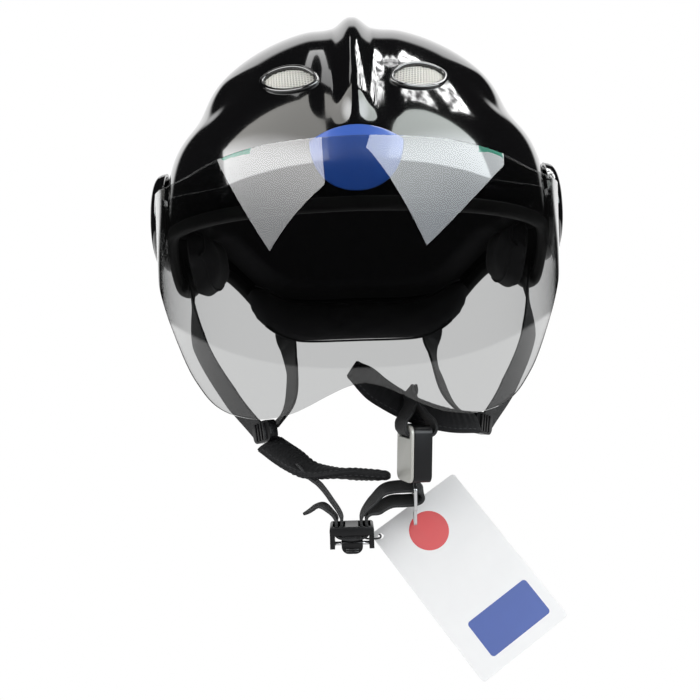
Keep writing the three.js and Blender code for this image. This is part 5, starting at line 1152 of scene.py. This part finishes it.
def visor_depth(z):
    return VISOR_DEPTH - (z - VISOR_BULGE_Z) ** 2 / (2 * VISOR_BULGE_RADIUS)


def visor_point(degrees, behind, z, inset):
    angle = np.radians(np.minimum(np.abs(degrees), 90))
    power = 2 / VISOR_ROUNDNESS
    x = np.sign(degrees) * (visor_width(z) - inset) * np.sin(angle) ** power
    y = behind - (visor_depth(z) - inset) * np.clip(np.cos(angle), 0, 1) ** power
    return np.stack([x, y, z + 0 * x], -1)


visor_top = edge_curve([
    (0, VISOR_TOP_Z), (20, VISOR_TOP_Z * 0.92), (35, VISOR_TOP_Z * 0.74), (48, VISOR_TOP_Z * 0.52),
    (60, VISOR_TOP_Z * 0.46), (76, VISOR_TOP_Z * 0.47), (90, VISOR_TAB_HALF),
])
visor_bottom = edge_curve([
    (0, VISOR_NOSE_Z), (3, mix(VISOR_NOSE_Z, VISOR_CORNER_Z, 0.09)),
    (7.4, mix(VISOR_NOSE_Z, VISOR_CORNER_Z, 0.34)), (12, mix(VISOR_NOSE_Z, VISOR_CORNER_Z, 0.62)),
    (17, mix(VISOR_NOSE_Z, VISOR_CORNER_Z, 0.86)), (25, VISOR_CORNER_Z), (33, VISOR_CORNER_Z * 0.985),
    (38, VISOR_CORNER_Z * 0.957), (42, VISOR_CORNER_Z * 0.917), (46, VISOR_CORNER_Z * 0.856),
    (50, VISOR_CORNER_Z * 0.786), (58, VISOR_CORNER_Z * 0.612), (66, VISOR_CORNER_Z * 0.465),
    (74, VISOR_CORNER_Z * 0.35), (82, VISOR_CORNER_Z * 0.25), (90, VISOR_CORNER_Z * 0.165),
])


def visor_stations():
    """Degrees, distance behind the pivot, and top and bottom heights along half the visor."""
    degrees = np.concatenate([np.linspace(0, 88, 89), [88.8, 89.4, 89.8, 90]])
    front = np.stack([degrees, 0 * degrees, visor_top(degrees), visor_bottom(degrees)], -1)
    low = float(visor_bottom(90))
    turn = np.linspace(0, math.radians(VISOR_TAB_TURN), VISOR_TAB_STEPS + 1)[1:]
    tab = np.stack([0 * turn + 90, VISOR_TAB_BACK * np.sin(turn), VISOR_TAB_HALF * np.cos(turn),
                    low * np.cos(turn)], -1)
    half = np.vstack([front, tab])
    return np.vstack([half[:0:-1] * (-1, 1, 1, 1), half])


def visor_grid(inset, rows=VISOR_ROWS, margin=0.0):
    """Rows of points over the visor, some way in from its outer face."""
    degrees, behind, top, bottom = visor_stations().T
    heights = (mix(top + margin, bottom - margin, share) for share in np.linspace(0, 1, rows))
    return [visor_point(degrees, behind, height, inset) for height in heights]


def make_visor():
    visor = mesh_object("clear_visor", *sheet(visor_grid(0), visor_grid(VISOR_THICKNESS)), body="visor_group")
    for sign in (-1, 1):
        cut(visor, bar("bore", PIVOT_BORE, (sign * VISOR_BORE_START, 0, 0), (sign * PIVOT_BORE_END, 0, 0)))
    finish_piece(crisp(visor, SHARP_DEGREES), CLEAR, "clear", "visor")


make_visor()


# Pivots and hard pieces, whose own forms get rounded edges

def refined(node, finish, slot, width, segments=2):
    """The node's own form with its edges rounded off."""
    source = NODES[node]
    obj = bpy.data.objects.new(f"{node}_rounded", source.data.copy())
    bpy.context.scene.collection.objects.link(obj)
    obj["body"] = source["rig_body"]
    work = bmesh.new()
    work.from_mesh(obj.data)
    bmesh.ops.remove_doubles(work, verts=work.verts, dist=MERGE_DISTANCE)
    bmesh.ops.dissolve_limit(work, angle_limit=math.radians(FLAT_DEGREES), verts=work.verts, edges=work.edges)
    work.to_mesh(obj.data)
    work.free()
    edge = obj.modifiers.new("edge", "BEVEL")
    edge.width, edge.segments = width * MM, segments
    edge.limit_method, edge.angle_limit = "ANGLE", math.radians(EDGE_DEGREES)
    apply_modifiers(obj)
    return finish_piece(crisp(obj, EDGE_DEGREES), finish, slot, node)


def make_cover(sign, side):
    """A hollow oval dome over a pivot, slit where the visor passes."""
    rise = COVER_APEX_X - COVER_SKIRT_X
    turn = round_turn(COVER_SIDES)

    def oval(half_width, height):
        up = np.sin(turn) * half_width * COVER_HALF_HEIGHT / COVER_HALF_WIDTH
        return np.stack([sign * (COVER_SKIRT_X + height + 0 * turn), np.cos(turn) * half_width, up], -1)

    skin = [oval(COVER_HALF_WIDTH * out, rise * up) for out, up in COVER_DOME_SHARES[::-1]]
    inside = [oval((COVER_HALF_WIDTH - COVER_WALL) * out, max(rise * up - COVER_WALL, 0))
              for out, up in COVER_DOME_SHARES]
    top = np.array([sign * COVER_APEX_X, 0, 0])
    ceiling = np.array([sign * (COVER_APEX_X - COVER_WALL), 0, 0])
    cover = mesh_object(f"pivot_cap_{side}", *pole_skin(top, skin + inside, ceiling), body="visor_group")
    faces = (visor_grid(inset, COVER_SLIT_ROWS, GAP) for inset in (-GAP, VISOR_THICKNESS + GAP))
    cut(cover, mesh_object("slit", *sheet(*faces)))
    finish_piece(crisp(cover, SHARP_DEGREES), LACQUER, "shell", f"pivot_cover_{side}")


def make_rivet(name, anchor, sign, node):
    """A rivet with domed heads."""
    surface, inward = anchor_frame(anchor, sign)
    axis = Vector(inward)
    ring = circle_about(axis, RIVET_SIDES)
    h, r = RIVET_HEAD_HEIGHT, RIVET_HEAD
    profile = [(-GAP - h * up, r * out) for up, out in RIVET_OUTER_SHARES]
    profile += [(-GAP, RIVET_SHANK), (RIVET_SEAT, RIVET_SHANK)]
    profile += [(RIVET_SEAT + h * up, r * out) for up, out in RIVET_INNER_SHARES]
    rings = [surface + np.asarray(axis) * at + ring * size for at, size in profile]
    rivet = mesh_object(name, *loft(rings))
    finish_piece(crisp(rivet, ROUND_DEGREES), PLASTIC, "black_plastic", node)


for side_sign, side_name in ((-1, "right"), (1, "left")):
    make_cover(side_sign, side_name)
    make_rivet(f"front_stud_{side_name}", FRONT_ANCHOR, side_sign, f"front_rivet_{side_name}")
    make_rivet(f"rear_stud_{side_name}", REAR_ANCHOR, side_sign, f"rear_rivet_{side_name}")
    refined(f"pivot_base_{side_name}", PLASTIC, "black_plastic", 0.3)
    refined(f"pivot_washer_{side_name}", PLASTIC, "black_plastic", 0.15)
    refined(f"pivot_nut_{side_name}", STEEL, "steel", 0.2)
    refined(f"pivot_screw_{side_name}", STEEL, "steel", 0.25)
    refined(f"divider_{side_name}", PLASTIC, "black_plastic", 0.5, 3)


# Webbing

def curve_at(places, t):
    """Points of a centripetal curve through places, at shares of the way from first to last."""
    p = np.asarray([tuple(place) for place in places], float)
    count = len(p)
    at = np.clip(np.asarray(t, float), 0, 1) * (count - 1)
    k = np.minimum(at.astype(int), count - 2)
    w = (at - k)[:, None]
    padded = np.vstack([2 * p[0] - p[1], p, 2 * p[-1] - p[-2]])
    x0, x1, x2, x3 = padded[k], padded[k + 1], padded[k + 2], padded[k + 3]
    pairs = ((x0, x1), (x1, x2), (x2, x3))
    d0, d1, d2 = (np.sqrt(np.linalg.norm(b - a, axis=1, keepdims=True)) for a, b in pairs)
    t1 = ((x1 - x0) / d0 - (x2 - x0) / (d0 + d1) + (x2 - x1) / d1) * d1
    t2 = ((x2 - x1) / d1 - (x3 - x1) / (d1 + d2) + (x3 - x2) / d2) * d1
    return x1 + t1 * w + (-3 * x1 + 3 * x2 - 2 * t1 - t2) * w**2 + (2 * x1 - 2 * x2 + t1 + t2) * w**3


def band_frame(places, widths, steps):
    """Points, width directions and normals along a band's middle line."""
    t = np.linspace(0, 1, steps + 1)
    points = curve_at(places, t)
    along = curve_at(places, t + 1e-4) - curve_at(places, t - 1e-4)
    along /= np.linalg.norm(along, axis=1, keepdims=True)
    w = np.asarray([tuple(width) for width in widths], float)
    at = t * (len(w) - 1)
    k = np.minimum(at.astype(int), len(w) - 2)
    across = w[k] + (w[k + 1] - w[k]) * (at - k)[:, None]
    across -= along * np.sum(across * along, axis=1, keepdims=True)
    across /= np.linalg.norm(across, axis=1, keepdims=True)
    normal = np.cross(along, across)
    normal /= np.linalg.norm(normal, axis=1, keepdims=True)
    return t, points, across, normal


WEB_SECTION = [(1, 0), (0.985, 0.62), (0.93, 1), (0.8, 0.94), (0.4, 0.84), (0, 0.8)]
WEB_SECTION = (WEB_SECTION + [(-a, n) for a, n in WEB_SECTION[-2::-1]]
               + [(-a, -n) for a, n in WEB_SECTION[1:]] + [(a, -n) for a, n in WEB_SECTION[-2:0:-1]])


def band(name, places, widths, steps):
    """A woven band, thicker at its edges, with the weave's place along and across in millimetres."""
    _, points, across, normal = band_frame(places, widths, steps)
    run = np.concatenate([[0], np.cumsum(np.linalg.norm(np.diff(points, axis=0), axis=1))])
    rings, uv = [], []
    for point, side, up, length in zip(points, across, normal, run):
        rings.append([point + side * a * WEB_WIDTH / 2 + up * n * WEB_THICKNESS / 2 for a, n in WEB_SECTION])
        uv += [(length, a * WEB_WIDTH / 2) for a, n in WEB_SECTION]
    grid, faces = loft(rings)
    uv += [(0, 0), (run[-1], 0)]
    return mesh_object(name, grid, faces, uv=uv), points, across, normal


def box_stitch(name, points, across, normal, first, last):
    """Stitches round a stretch of a band and along its two diagonals, on both faces."""
    stretch = slice(first, last + 1)
    mid, side, up = points[stretch], across[stretch], normal[stretch]
    half = WEB_WIDTH * BOX_HALF_SHARE
    slope = np.linspace(-1, 1, len(mid))[:, None]
    for face, mark in ((1, "top"), (-1, "low")):
        lift = up * face * WEB_THICKNESS * BOX_SINK_SHARE
        rows = {"a": mid + side * half + lift, "b": mid - side * half + lift,
                "c": mid + side * half * slope + lift, "d": mid - side * half * slope + lift}
        path = np.vstack([rows["a"], rows["c"][::-1], rows["b"], rows["d"][::-1]])
        ups = np.vstack([up * face] * 4)
        stitch_row(f"{name}_{mark}", path, ups, BOX_PITCH, "webbing", BOX_STITCH)


def divider_turned(x, y, z):
    turn = Euler((0, math.radians(DIVIDER_LEAN), math.radians(DIVIDER_TURN)), "XYZ").to_matrix()
    return turn @ Vector((x, y, z))


def mirrored(vectors, sign):
    return [Vector((v[0] * sign, v[1], v[2])) for v in vectors]


def make_leg(name, node, anchor, bends, turns, sign):
    """A strap leg from its rivet through its bends to the divider."""
    surface, inward = anchor_frame(anchor, 1)
    surface, inward = Vector(surface), Vector(inward)
    start = surface + inward * (WEB_INSET + WEB_THICKNESS / 2)
    rest = bends(start)
    along = rest[0] - start
    along = (along - inward * along.dot(inward)).normalized()
    start_width = along.cross(inward).normalized()
    if start_width.dot(turns[-1]) < 0:
        start_width = -start_width
    flat = [start + along * reach for reach in (-RIVET_WEB_END, 0, RIVET_FLAT)]
    places = mirrored(flat + rest, sign)
    flat_widths = [start_width] * (1 + len(turns))
    widths = mirrored([*flat_widths, *turns, divider_turned(1, 0, 0)], sign)
    leg, points, across, normal = band(f"{name}_webbing", places, widths, LEG_STEPS)
    finish_piece(leg, WEBBING, "webbing", node)
    box_stitch(f"{name}_stitches", points, across, normal, *LEG_BOX)


def front_bends(place):
    end = place + divider_turned(4, -1.1, 0)
    return lambda start: [start.lerp(end, 0.45) + Vector((12, 0, 0)),
                          start.lerp(end, 0.8) + Vector((7.2, 0, 0)), end]


def wall_under(start, drop):
    degrees = math.degrees(math.atan2(start.x, CENTRE_Y - start.y))
    return Vector(on_wall(degrees, start.z - drop, WEB_INSET + WEB_THICKNESS / 2 + SEAT_GAP * 1.5))


def rear_bends(place):
    end = place + divider_turned(-2, 1.1, 0)
    spread = Vector((4, 0, 0))
    return lambda start: [wall_under(start, 16) + spread, wall_under(start, 24) + spread,
                          start.lerp(end, 0.5) + Vector((-9, 0, -8)),
                          start.lerp(end, 0.8) + Vector((-9, 0, -4)), end]


for side_sign, side_name in ((-1, "right"), (1, "left")):
    spot = DIVIDER_PLACES[side_name]
    make_leg(f"front_{side_name}", f"front_leg_{side_name}", FRONT_ANCHOR, front_bends(spot),
             [Vector((0.58, 0.8, 0)), Vector((0.6, 0.75, 0))], side_sign)
    make_leg(f"rear_{side_name}", f"rear_leg_{side_name}", REAR_ANCHOR, rear_bends(spot),
             [Vector((0.44, 0.31, -0.83))], side_sign)


# Padded chin sleeves

RIGHT_SLEEVE_PLACES = [(-54, -80, -132), (-43, -88, -139), (-31, -94, -146), (-17, -98, -147.5),
                       (-2, -100, -148.5), (13, -102, -149.3)]
RIGHT_SLEEVE_WIDTHS = [(0.3, 0.8, 0.5), (0.3, 0.85, 0.42), (0.1, 0.95, 0.1), (0, 1, -0.3), (0, 1, -0.25)]
LEFT_SLEEVE_PLACES = [(63, -84, -123.5), (46, -90, -121), (26, -95, -114), (9, -99, -103.5), (0, -102, -95.5),
                      (-6, -103, -90.5)]
LEFT_SLEEVE_WIDTHS = [(0.1, 0.8, 0.55), (0.2, 0.75, 0.6), (0.35, 0.65, 0.62), (0.45, 0.5, 0.68)]


def make_sleeve(name, node, places, widths, fullness):
    """A flat padded tube, crowned in the middle of its width, with a bound seam down each edge."""
    t, points, across, normal = band_frame(places, widths, SLEEVE_STEPS)
    sides = SLEEVE_SIDES
    turn = round_turn(sides)
    wide = np.sign(np.cos(turn)) * np.abs(np.cos(turn)) ** SLEEVE_FLATNESS
    run = np.concatenate([[0], np.cumsum(np.linalg.norm(np.diff(points, axis=0), axis=1))])
    rings, uv = [], []
    for share, point, side, up, length in zip(t, points, across, normal, run):
        end = math.sqrt(max(1 - abs(share * 2 - 1) ** 8, 0))
        half = SLEEVE_WIDTH * fullness(share) / 2
        thick = SLEEVE_THICKNESS * mix(SLEEVE_END_SHARE, 1, end) / 2
        wander = CREASE_WANDER * math.sin(length * CREASE_WANDER_PACE)
        creases = 1 - CREASE_SHARE * math.sin(length * CREASE_PACE + wander) ** 2
        ring = point + np.outer(wide * half, side) + np.outer(np.sin(turn) * thick * creases, up)
        rings.append(ring)
        uv += [(length, a * half) for a in wide]
    grid, faces = loft(rings)
    uv += [(0, 0), (run[-1], 0)]
    pad = mesh_object(name, grid, faces, uv=uv)
    finish_piece(pad, SLEEVE, "cloth", node)
    rings = np.array(rings)
    for mark, k in (("a", 0), ("b", sides // 2)):
        cord = tube(f"{name}_seam_{mark}", rings[2:-2, k], SLEEVE_SEAM, 8, closed=False)
        finish_piece(cord, SLEEVE, "cloth")
    for mark, k in (("a", 3), ("b", sides // 2 - 3), ("c", sides // 2 + 3), ("d", sides - 3)):
        path = rings[4:-4, k]
        ups = normal[4:-4] * (1 if k < sides // 2 else -1)
        stitch_row(f"{name}_stitch_{mark}", path, ups, SLEEVE_PITCH, "cloth", SLEEVE_STITCH)


make_sleeve("right_sleeve", "chin_sleeve_right", RIGHT_SLEEVE_PLACES, RIGHT_SLEEVE_WIDTHS,
            lambda t: 0.85 + 0.15 * float(smooth(0, 0.3, t)) - 0.5 * float(smooth(0.6, 1, t)))
make_sleeve("left_sleeve", "chin_sleeve_left", LEFT_SLEEVE_PLACES, LEFT_SLEEVE_WIDTHS,
            lambda t: 0.8 + 0.15 * float(smooth(0, 0.4, t)) - 0.4 * float(smooth(0.65, 1, t)))


# Buckle, tongue, lock and their webbing

def buckle_place(point):
    pivot = Vector((0, 0, BUCKLE_BAR_Z))
    turned = Matrix.Rotation(math.radians(BUCKLE_TURN), 3, "Z") @ (Vector(point) - pivot)
    tilted = Matrix.Rotation(math.radians(BUCKLE_TILT), 3, "Y") @ turned
    return tilted + BUCKLE_TOP + pivot


def make_buckle_web():
    reach = BUCKLE_HALF + BUCKLE_FACE_THICKNESS + GAP + WEB_THICKNESS
    stack = (WEB_THICKNESS + SOFT_GAP) / 2
    sides = []
    for sign in (-1, 1):
        sides.append([(-11, sign * stack, 18), (-8, sign * stack, 12), (-3, sign * reach * 0.55, 6),
                      (-1, sign * reach * 0.95, 1.5), (0, sign * reach, BUCKLE_BAR_Z / 2),
                      (0, sign * reach * 0.75, BUCKLE_BAR_Z)])
    places = [buckle_place(p) for p in sides[0] + [(0, 0, BUCKLE_BAR_Z)] + sides[1][::-1]]
    width = buckle_place((1, 0, 0)) - buckle_place((0, 0, 0))
    web, *_ = band("buckle_webbing", places, [width, width], BUCKLE_WEB_STEPS)
    outward(web)
    web.data.materials.append(WEBBING)
    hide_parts("buckle_web")
    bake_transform(web)


FROM_SLEEVE = [(-36, -93, -143.5), (-31, -96, -149), (-25, -99, -154), (-19.5, -102, -161)]
TO_TONGUE, FROM_TONGUE = [(-22.5, -2, -2.7), (-16, -1, 2.8)], [(-13, -0.5, -4.2), (-20.5, -2, -7.7)]
TAIL = [(-20, -104, -167.5), (-25, -101, -165), (-32, -98, -167.5)]


def make_adjuster_web():
    slot = (TONGUE_SLOT_OUTER + TONGUE_SLOT_INNER) / 2
    lane, turn = WEB_THICKNESS * ADJUSTER_LANE_SHARE, WEB_THICKNESS * ADJUSTER_ROUND_SHARE
    rise, reach, drop = ADJUSTER_LOCK_RISE, ADJUSTER_REACH, LOCK_HEIGHT
    tilt = math.radians(TONGUE_TILT)
    level, tilted = (0, 1, 0), (0, math.cos(tilt), math.sin(tilt))

    def at_lock(x, z):
        return LOCK + Vector((x, 0, z))

    def at_bar(x, z):
        return TONGUE_BAR + Vector((x, -z * math.sin(tilt), z * math.cos(tilt)))

    def by_bar(steps):
        return [TONGUE_BAR + Vector(step) for step in steps]

    stretches = [
        (level, [Vector(place) for place in FROM_SLEEVE]),
        (level, [at_lock(lane - LOCK_PASS, rise), at_lock(lane - LOCK_PASS, -drop * 0.5),
                 at_lock(0, -drop * 0.8), at_lock(LOCK_PASS - lane, -drop * 0.5),
                 at_lock(LOCK_PASS - lane, rise)]),
        (tilted, [*by_bar(TO_TONGUE), at_bar(-reach, slot * 1.13), at_bar(0, slot),
                  at_bar(turn * 0.77, slot * 0.6), at_bar(turn, 0), at_bar(turn * 0.77, -slot * 0.6),
                  at_bar(0, -slot), at_bar(-reach, -slot * 1.1), *by_bar(FROM_TONGUE)]),
        (level, [at_lock(LOCK_PASS + lane, rise), at_lock(LOCK_PASS + lane, -drop * 0.6),
                 at_lock(LOCK_PASS / 2, -drop * 1.05), at_lock(-LOCK_PASS / 2, -drop * 1.05),
                 at_lock(-LOCK_PASS - lane, -drop * 0.6), at_lock(-LOCK_PASS - lane, ADJUSTER_TAIL_RISE),
                 *(Vector(place) for place in TAIL)]),
    ]
    places = [place for _, stretch in stretches for place in stretch]
    widths = [width for width, stretch in stretches for _ in stretch]
    web, points, across, normal = band("adjuster_webbing", places, widths, ADJUSTER_STEPS)
    finish_piece(web, WEBBING, "webbing", "adjuster_web")
    box_stitch("tail_stitches", points, across, normal, *ADJUSTER_BOX)


make_buckle_web()
make_adjuster_web()
refined("buckle_housing", PLASTIC, "black_plastic", 0.7, 3)
refined("buckle_face", GREY, "grey_plastic", 0.4, 3)
refined("buckle_button", PLASTIC, "black_plastic", 0.35, 3)
refined("tongue_plate", STEEL, "steel", 0.3, 3)
refined("lock_body", PLASTIC, "black_plastic", 0.3, 2)
refined("lock_tab", PLASTIC, "black_plastic", 0.3, 2)
refined("lock_pin", STEEL, "steel", 0.2, 2)


def make_spring():
    spring = NODES["buckle_spring"]
    piece = bpy.data.objects.new("button_spring", spring.data.copy())
    bpy.context.scene.collection.objects.link(piece)
    piece["body"] = "buckle"
    finish_piece(crisp(piece, COIL_DEGREES), STEEL, "steel", "buckle_spring")
    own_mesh(piece)


make_spring()


# Swing tag with its cord

def tag_place(point):
    turned = Matrix.Rotation(math.radians(-TAG_TURN), 3, "Y") @ Vector(point)
    tilted = Matrix.Rotation(math.radians(-TAG_TILT), 3, "X") @ turned
    return tilted + CORD_CENTRE + Vector((CORD_HALF_WIDTH, 0, 0))


def rounded_corners(width, height, corner, steps=10):
    points = []
    for cx, cz, start in ((1, -1, -90), (1, 1, 0), (-1, 1, 90), (-1, -1, 180)):
        for turn in np.radians(np.linspace(start, start + 90, steps)):
            points.append((cx * (width / 2 - corner) + corner * math.cos(turn),
                           cz * (height / 2 - corner) + corner * math.sin(turn)))
    return np.array(points)


def on_tag(name, outline, depth, y=0.0):
    """A flat form on the card: its outline in the card's plane, from its front face back."""
    rings = []
    for at in (y - depth / 2, y + depth / 2):
        rings.append([tag_place((x, at, z)) for x, z in outline])
    piece = mesh_object(name, *loft(rings), body="tag")
    return crisp(piece, SHARP_DEGREES)


def make_tag():
    outline = rounded_corners(TAG_WIDTH, TAG_LENGTH, TAG_CORNER) + TAG_MIDDLE
    card = on_tag("card", outline, TAG_THICKNESS)
    front, back = (tag_place((0, reach, 0)) for reach in (-TAG_HOLE_CUT, TAG_HOLE_CUT))
    cut(card, bar("hole", TAG_HOLE_RADIUS, front, back, TAG_HOLE_SIDES))
    finish_piece(crisp(card, SHARP_DEGREES), CARD, "card", "hang_tag")
    turn = round_turn(TAG_DISC_SIDES)
    circle = np.stack([np.cos(turn), np.sin(turn)], -1)
    face = -TAG_THICKNESS / 2 - PRINT_STAND
    disc = on_tag("tag_disc", circle * TAG_DISC_RADIUS + TAG_DISC, PRINT_THICKNESS, face)
    finish_piece(disc, PRINT_RED, "card")
    corners = rounded_corners(*TAG_BLOCK_SIZE, TAG_BLOCK_CORNER) + TAG_BLOCK
    block = on_tag("tag_block", corners, PRINT_THICKNESS, face)
    finish_piece(block, PRINT_BLUE, "card")


def make_tag_cord():
    turn = round_turn(CORD_STEPS)
    reach = [np.sign(f(turn)) * np.abs(f(turn)) ** (2 / CORD_SQUARENESS) for f in (np.cos, np.sin)]
    loop = np.stack([CORD_HALF_WIDTH * reach[0], CORD_HALF_DEPTH * reach[1], 0 * turn], -1)
    path = loop + tuple(CORD_CENTRE)
    cord = tube("tag_loop", path, CORD_RADIUS, CORD_SIDES)
    finish_piece(cord, THREAD, "cloth", "tag_cord")


make_tag()
make_tag_cord()


# Studio: a white room behind and below, dark in front and above, with far panels that only gloss shows

STUDIO_FAR = 3000.0
LEFT_PANEL = [(-45, 3), (-13, 12), (-21, 46), (-41, 71.5), (-58, 64), (-78, 52), (-85, 44), (-91, 36.6),
              (-96, 29), (-81, 13)]
RIGHT_PANEL = [(32, 3.2), (3.7, 17), (16.6, 19.3), (28, 46), (33.6, 56.7), (41.8, 57.5), (51, 55.7),
               (62.7, 52.5), (70.7, 47.6), (75, 44), (85, 31), (87, 11)]
TEAL_LEFT = [(-80, 13.4), (-75, 14.1), (-53.3, 15.9), (-56, 14.7), (-66, 13.8), (-75, 12.9)]
TEAL_RIGHT = [(66.7, 14.4), (83.7, 12.8), (85.9, 11.6), (84.3, 11.9), (67.3, 13.5)]
CEILING_WING = [(0.216, -0.11), (0.529, 0.0), (0.642, -0.09), (0.815, -0.225), (0.597, -0.253),
                (0.347, -0.351), (0.247, -0.252)]
CEILING_KEEL = [(0.15, 0.25), (0.24, 0.5), (0.45, 0.42), (1.2, 0.3), (0.95, -0.08), (0.6, 0.06),
                (0.33, -0.09), (0.2, 0.0)]
CEILING_SPARK = [(0.1, 0.08), (0.115, 0.33), (0.2, 0.19)]
CEILING_BAND = [(-0.06, 0.5), (-0.13, 0.5), (-0.24, 0.12), (-0.5, -0.1), (-0.44, -0.2), (-0.14, -0.1),
                (-0.14, 0.1)]


def far_direction(azimuth, elevation):
    a, e = math.radians(azimuth), math.radians(elevation)
    return Vector((math.sin(a) * math.cos(e), -math.cos(a) * math.cos(e), math.sin(e)))


def panel(name, directions, colour, strength, far=1.0):
    """A glowing panel far away, seen in gloss alone: its corners are the directions it fills."""
    corners = [Vector(d).normalized() * far * STUDIO_FAR * MM for d in directions]
    middle = sum(corners, Vector()) / len(corners)
    count = len(corners)
    mesh = bpy.data.meshes.new(name)
    faces = [(i, (i + 1) % count, count) for i in range(count)]
    mesh.from_pydata([tuple(c) for c in (*corners, middle)], [], faces)
    obj = bpy.data.objects.new(name, mesh)
    bpy.context.scene.collection.objects.link(obj)
    s = Surface(name, base_color=(0.0, 0.0, 0.0), roughness=1.0, specular_ior_level=0.0)
    s.set("Emission Color", colour(s) if callable(colour) else colour)
    s.set("Emission Strength", strength)
    mesh.materials.append(s.material)
    obj.visible_camera = obj.visible_diffuse = obj.visible_transmission = obj.visible_shadow = False


def raised(rise, fall, low, peak, high):
    """A colour that changes twice with height, between two pairs of heights in millimetres."""
    def shade(s):
        height = s.place()[2]
        return s.colour(height.ramp(*fall), s.colour(height.ramp(*rise), low, peak), high)
    return shade


def crumpled(first, second):
    """Bright creases of thin foil."""
    def shade(s):
        return s.colour(s.noise(4.5, 5).ramp(0.38, 0.62), first, second)
    return shade


BACKDROP_SHARE, BACKDROP_FLOOR, BACKDROP_FLOOR_RAMP, BACKDROP_BLUR = 0.955, 0.125, (0.03, 0.13), 0.03
OVERHEAD_RISE, OVERHEAD_WIDTH, OVERHEAD_DROP = (0.4, 0.55), (0.35, 0.46), 0.15
FLOOR_SLOPE, FLOOR_START, FLOOR_BLUR, DARK_LEVEL = 0.107, 0.104, 0.004, 0.008


def make_world():
    """White to the camera and to diffuse light; gloss sees a white backdrop and floor, and dark elsewhere."""
    world = bpy.data.worlds.new("studio")
    bpy.context.scene.world = world
    world.use_nodes = True
    world.node_tree.nodes.clear()
    tree = NodeTree(world.node_tree)
    sideways, away, up = tree.axes(tree.node("ShaderNodeTexCoord", out="Generated"))

    def ray(name):
        return tree.node("ShaderNodeLightPath", out=name)

    overhead = up.ramp(*OVERHEAD_RISE) * (1.0 - sideways.size().ramp(*OVERHEAD_WIDTH))
    level_edge = BACKDROP_SHARE - up.ramp(*BACKDROP_FLOOR_RAMP) * BACKDROP_FLOOR
    behind = (away - (level_edge - overhead * OVERHEAD_DROP)).ramp(-BACKDROP_BLUR, BACKDROP_BLUR)
    below = (away * FLOOR_SLOPE - FLOOR_START - up).ramp(-FLOOR_BLUR, FLOOR_BLUR)
    mirrored_level = behind.larger(below) + DARK_LEVEL
    diffused = ray("Diffuse Depth").smaller(1.0)
    gloss = ray("Is Glossy Ray").larger(ray("Glossy Depth").smaller(1.0))
    plain = (1.0 - diffused) * (1.0 - gloss)
    seen = ray("Is Camera Ray").larger(ray("Is Transmission Ray") * plain)
    ambient = diffused.larger(1.0 - gloss)
    lit = ambient + (1.0 - ambient) * mirrored_level
    level = seen + (1.0 - seen) * lit
    back = tree.node("ShaderNodeBackground", {"Color": (1, 1, 1, 1), "Strength": level})
    tree.node("ShaderNodeOutputWorld", (back,))


make_world()
panel("softbox_left", [far_direction(*p) for p in LEFT_PANEL],
      raised((250, 700), (1150, 1800), (0.56, 0.57, 0.58), (1.0, 1.0, 1.0), (0.31, 0.305, 0.29)), 9.6)
panel("softbox_right", [far_direction(*p) for p in RIGHT_PANEL],
      raised((250, 700), (1150, 1900), (0.56, 0.6, 0.64), (0.93, 0.98, 1.0), (0.56, 0.6, 0.58)), 10.4)
for teal_name, corners in (("teal_left", TEAL_LEFT), ("teal_right", TEAL_RIGHT)):
    panel(teal_name, [far_direction(*p) for p in corners], (0.22, 0.95, 0.68), 5.2, far=0.85)
for foil_name, corners, glow in (("foil_wing", CEILING_WING, 14.0), ("foil_keel", CEILING_KEEL, 17.0),
                                 ("foil_spark", CEILING_SPARK, 8.0)):
    panel(foil_name, [(x, y, 1.0) for x, y in corners], crumpled((0.03, 0.03, 0.03), (1.0, 1.0, 1.0)), glow)
panel("dim_band", [(x, y, 1.0) for x, y in CEILING_BAND], (1.0, 1.0, 1.0), 2.2)

scene = bpy.context.scene
scene.view_settings.view_transform = "Standard"
scene.cycles.transmission_bounces = 12
scene.cycles.transparent_max_bounces = 16
scene.cycles.max_bounces = 16
scene.cycles.glossy_bounces = 6
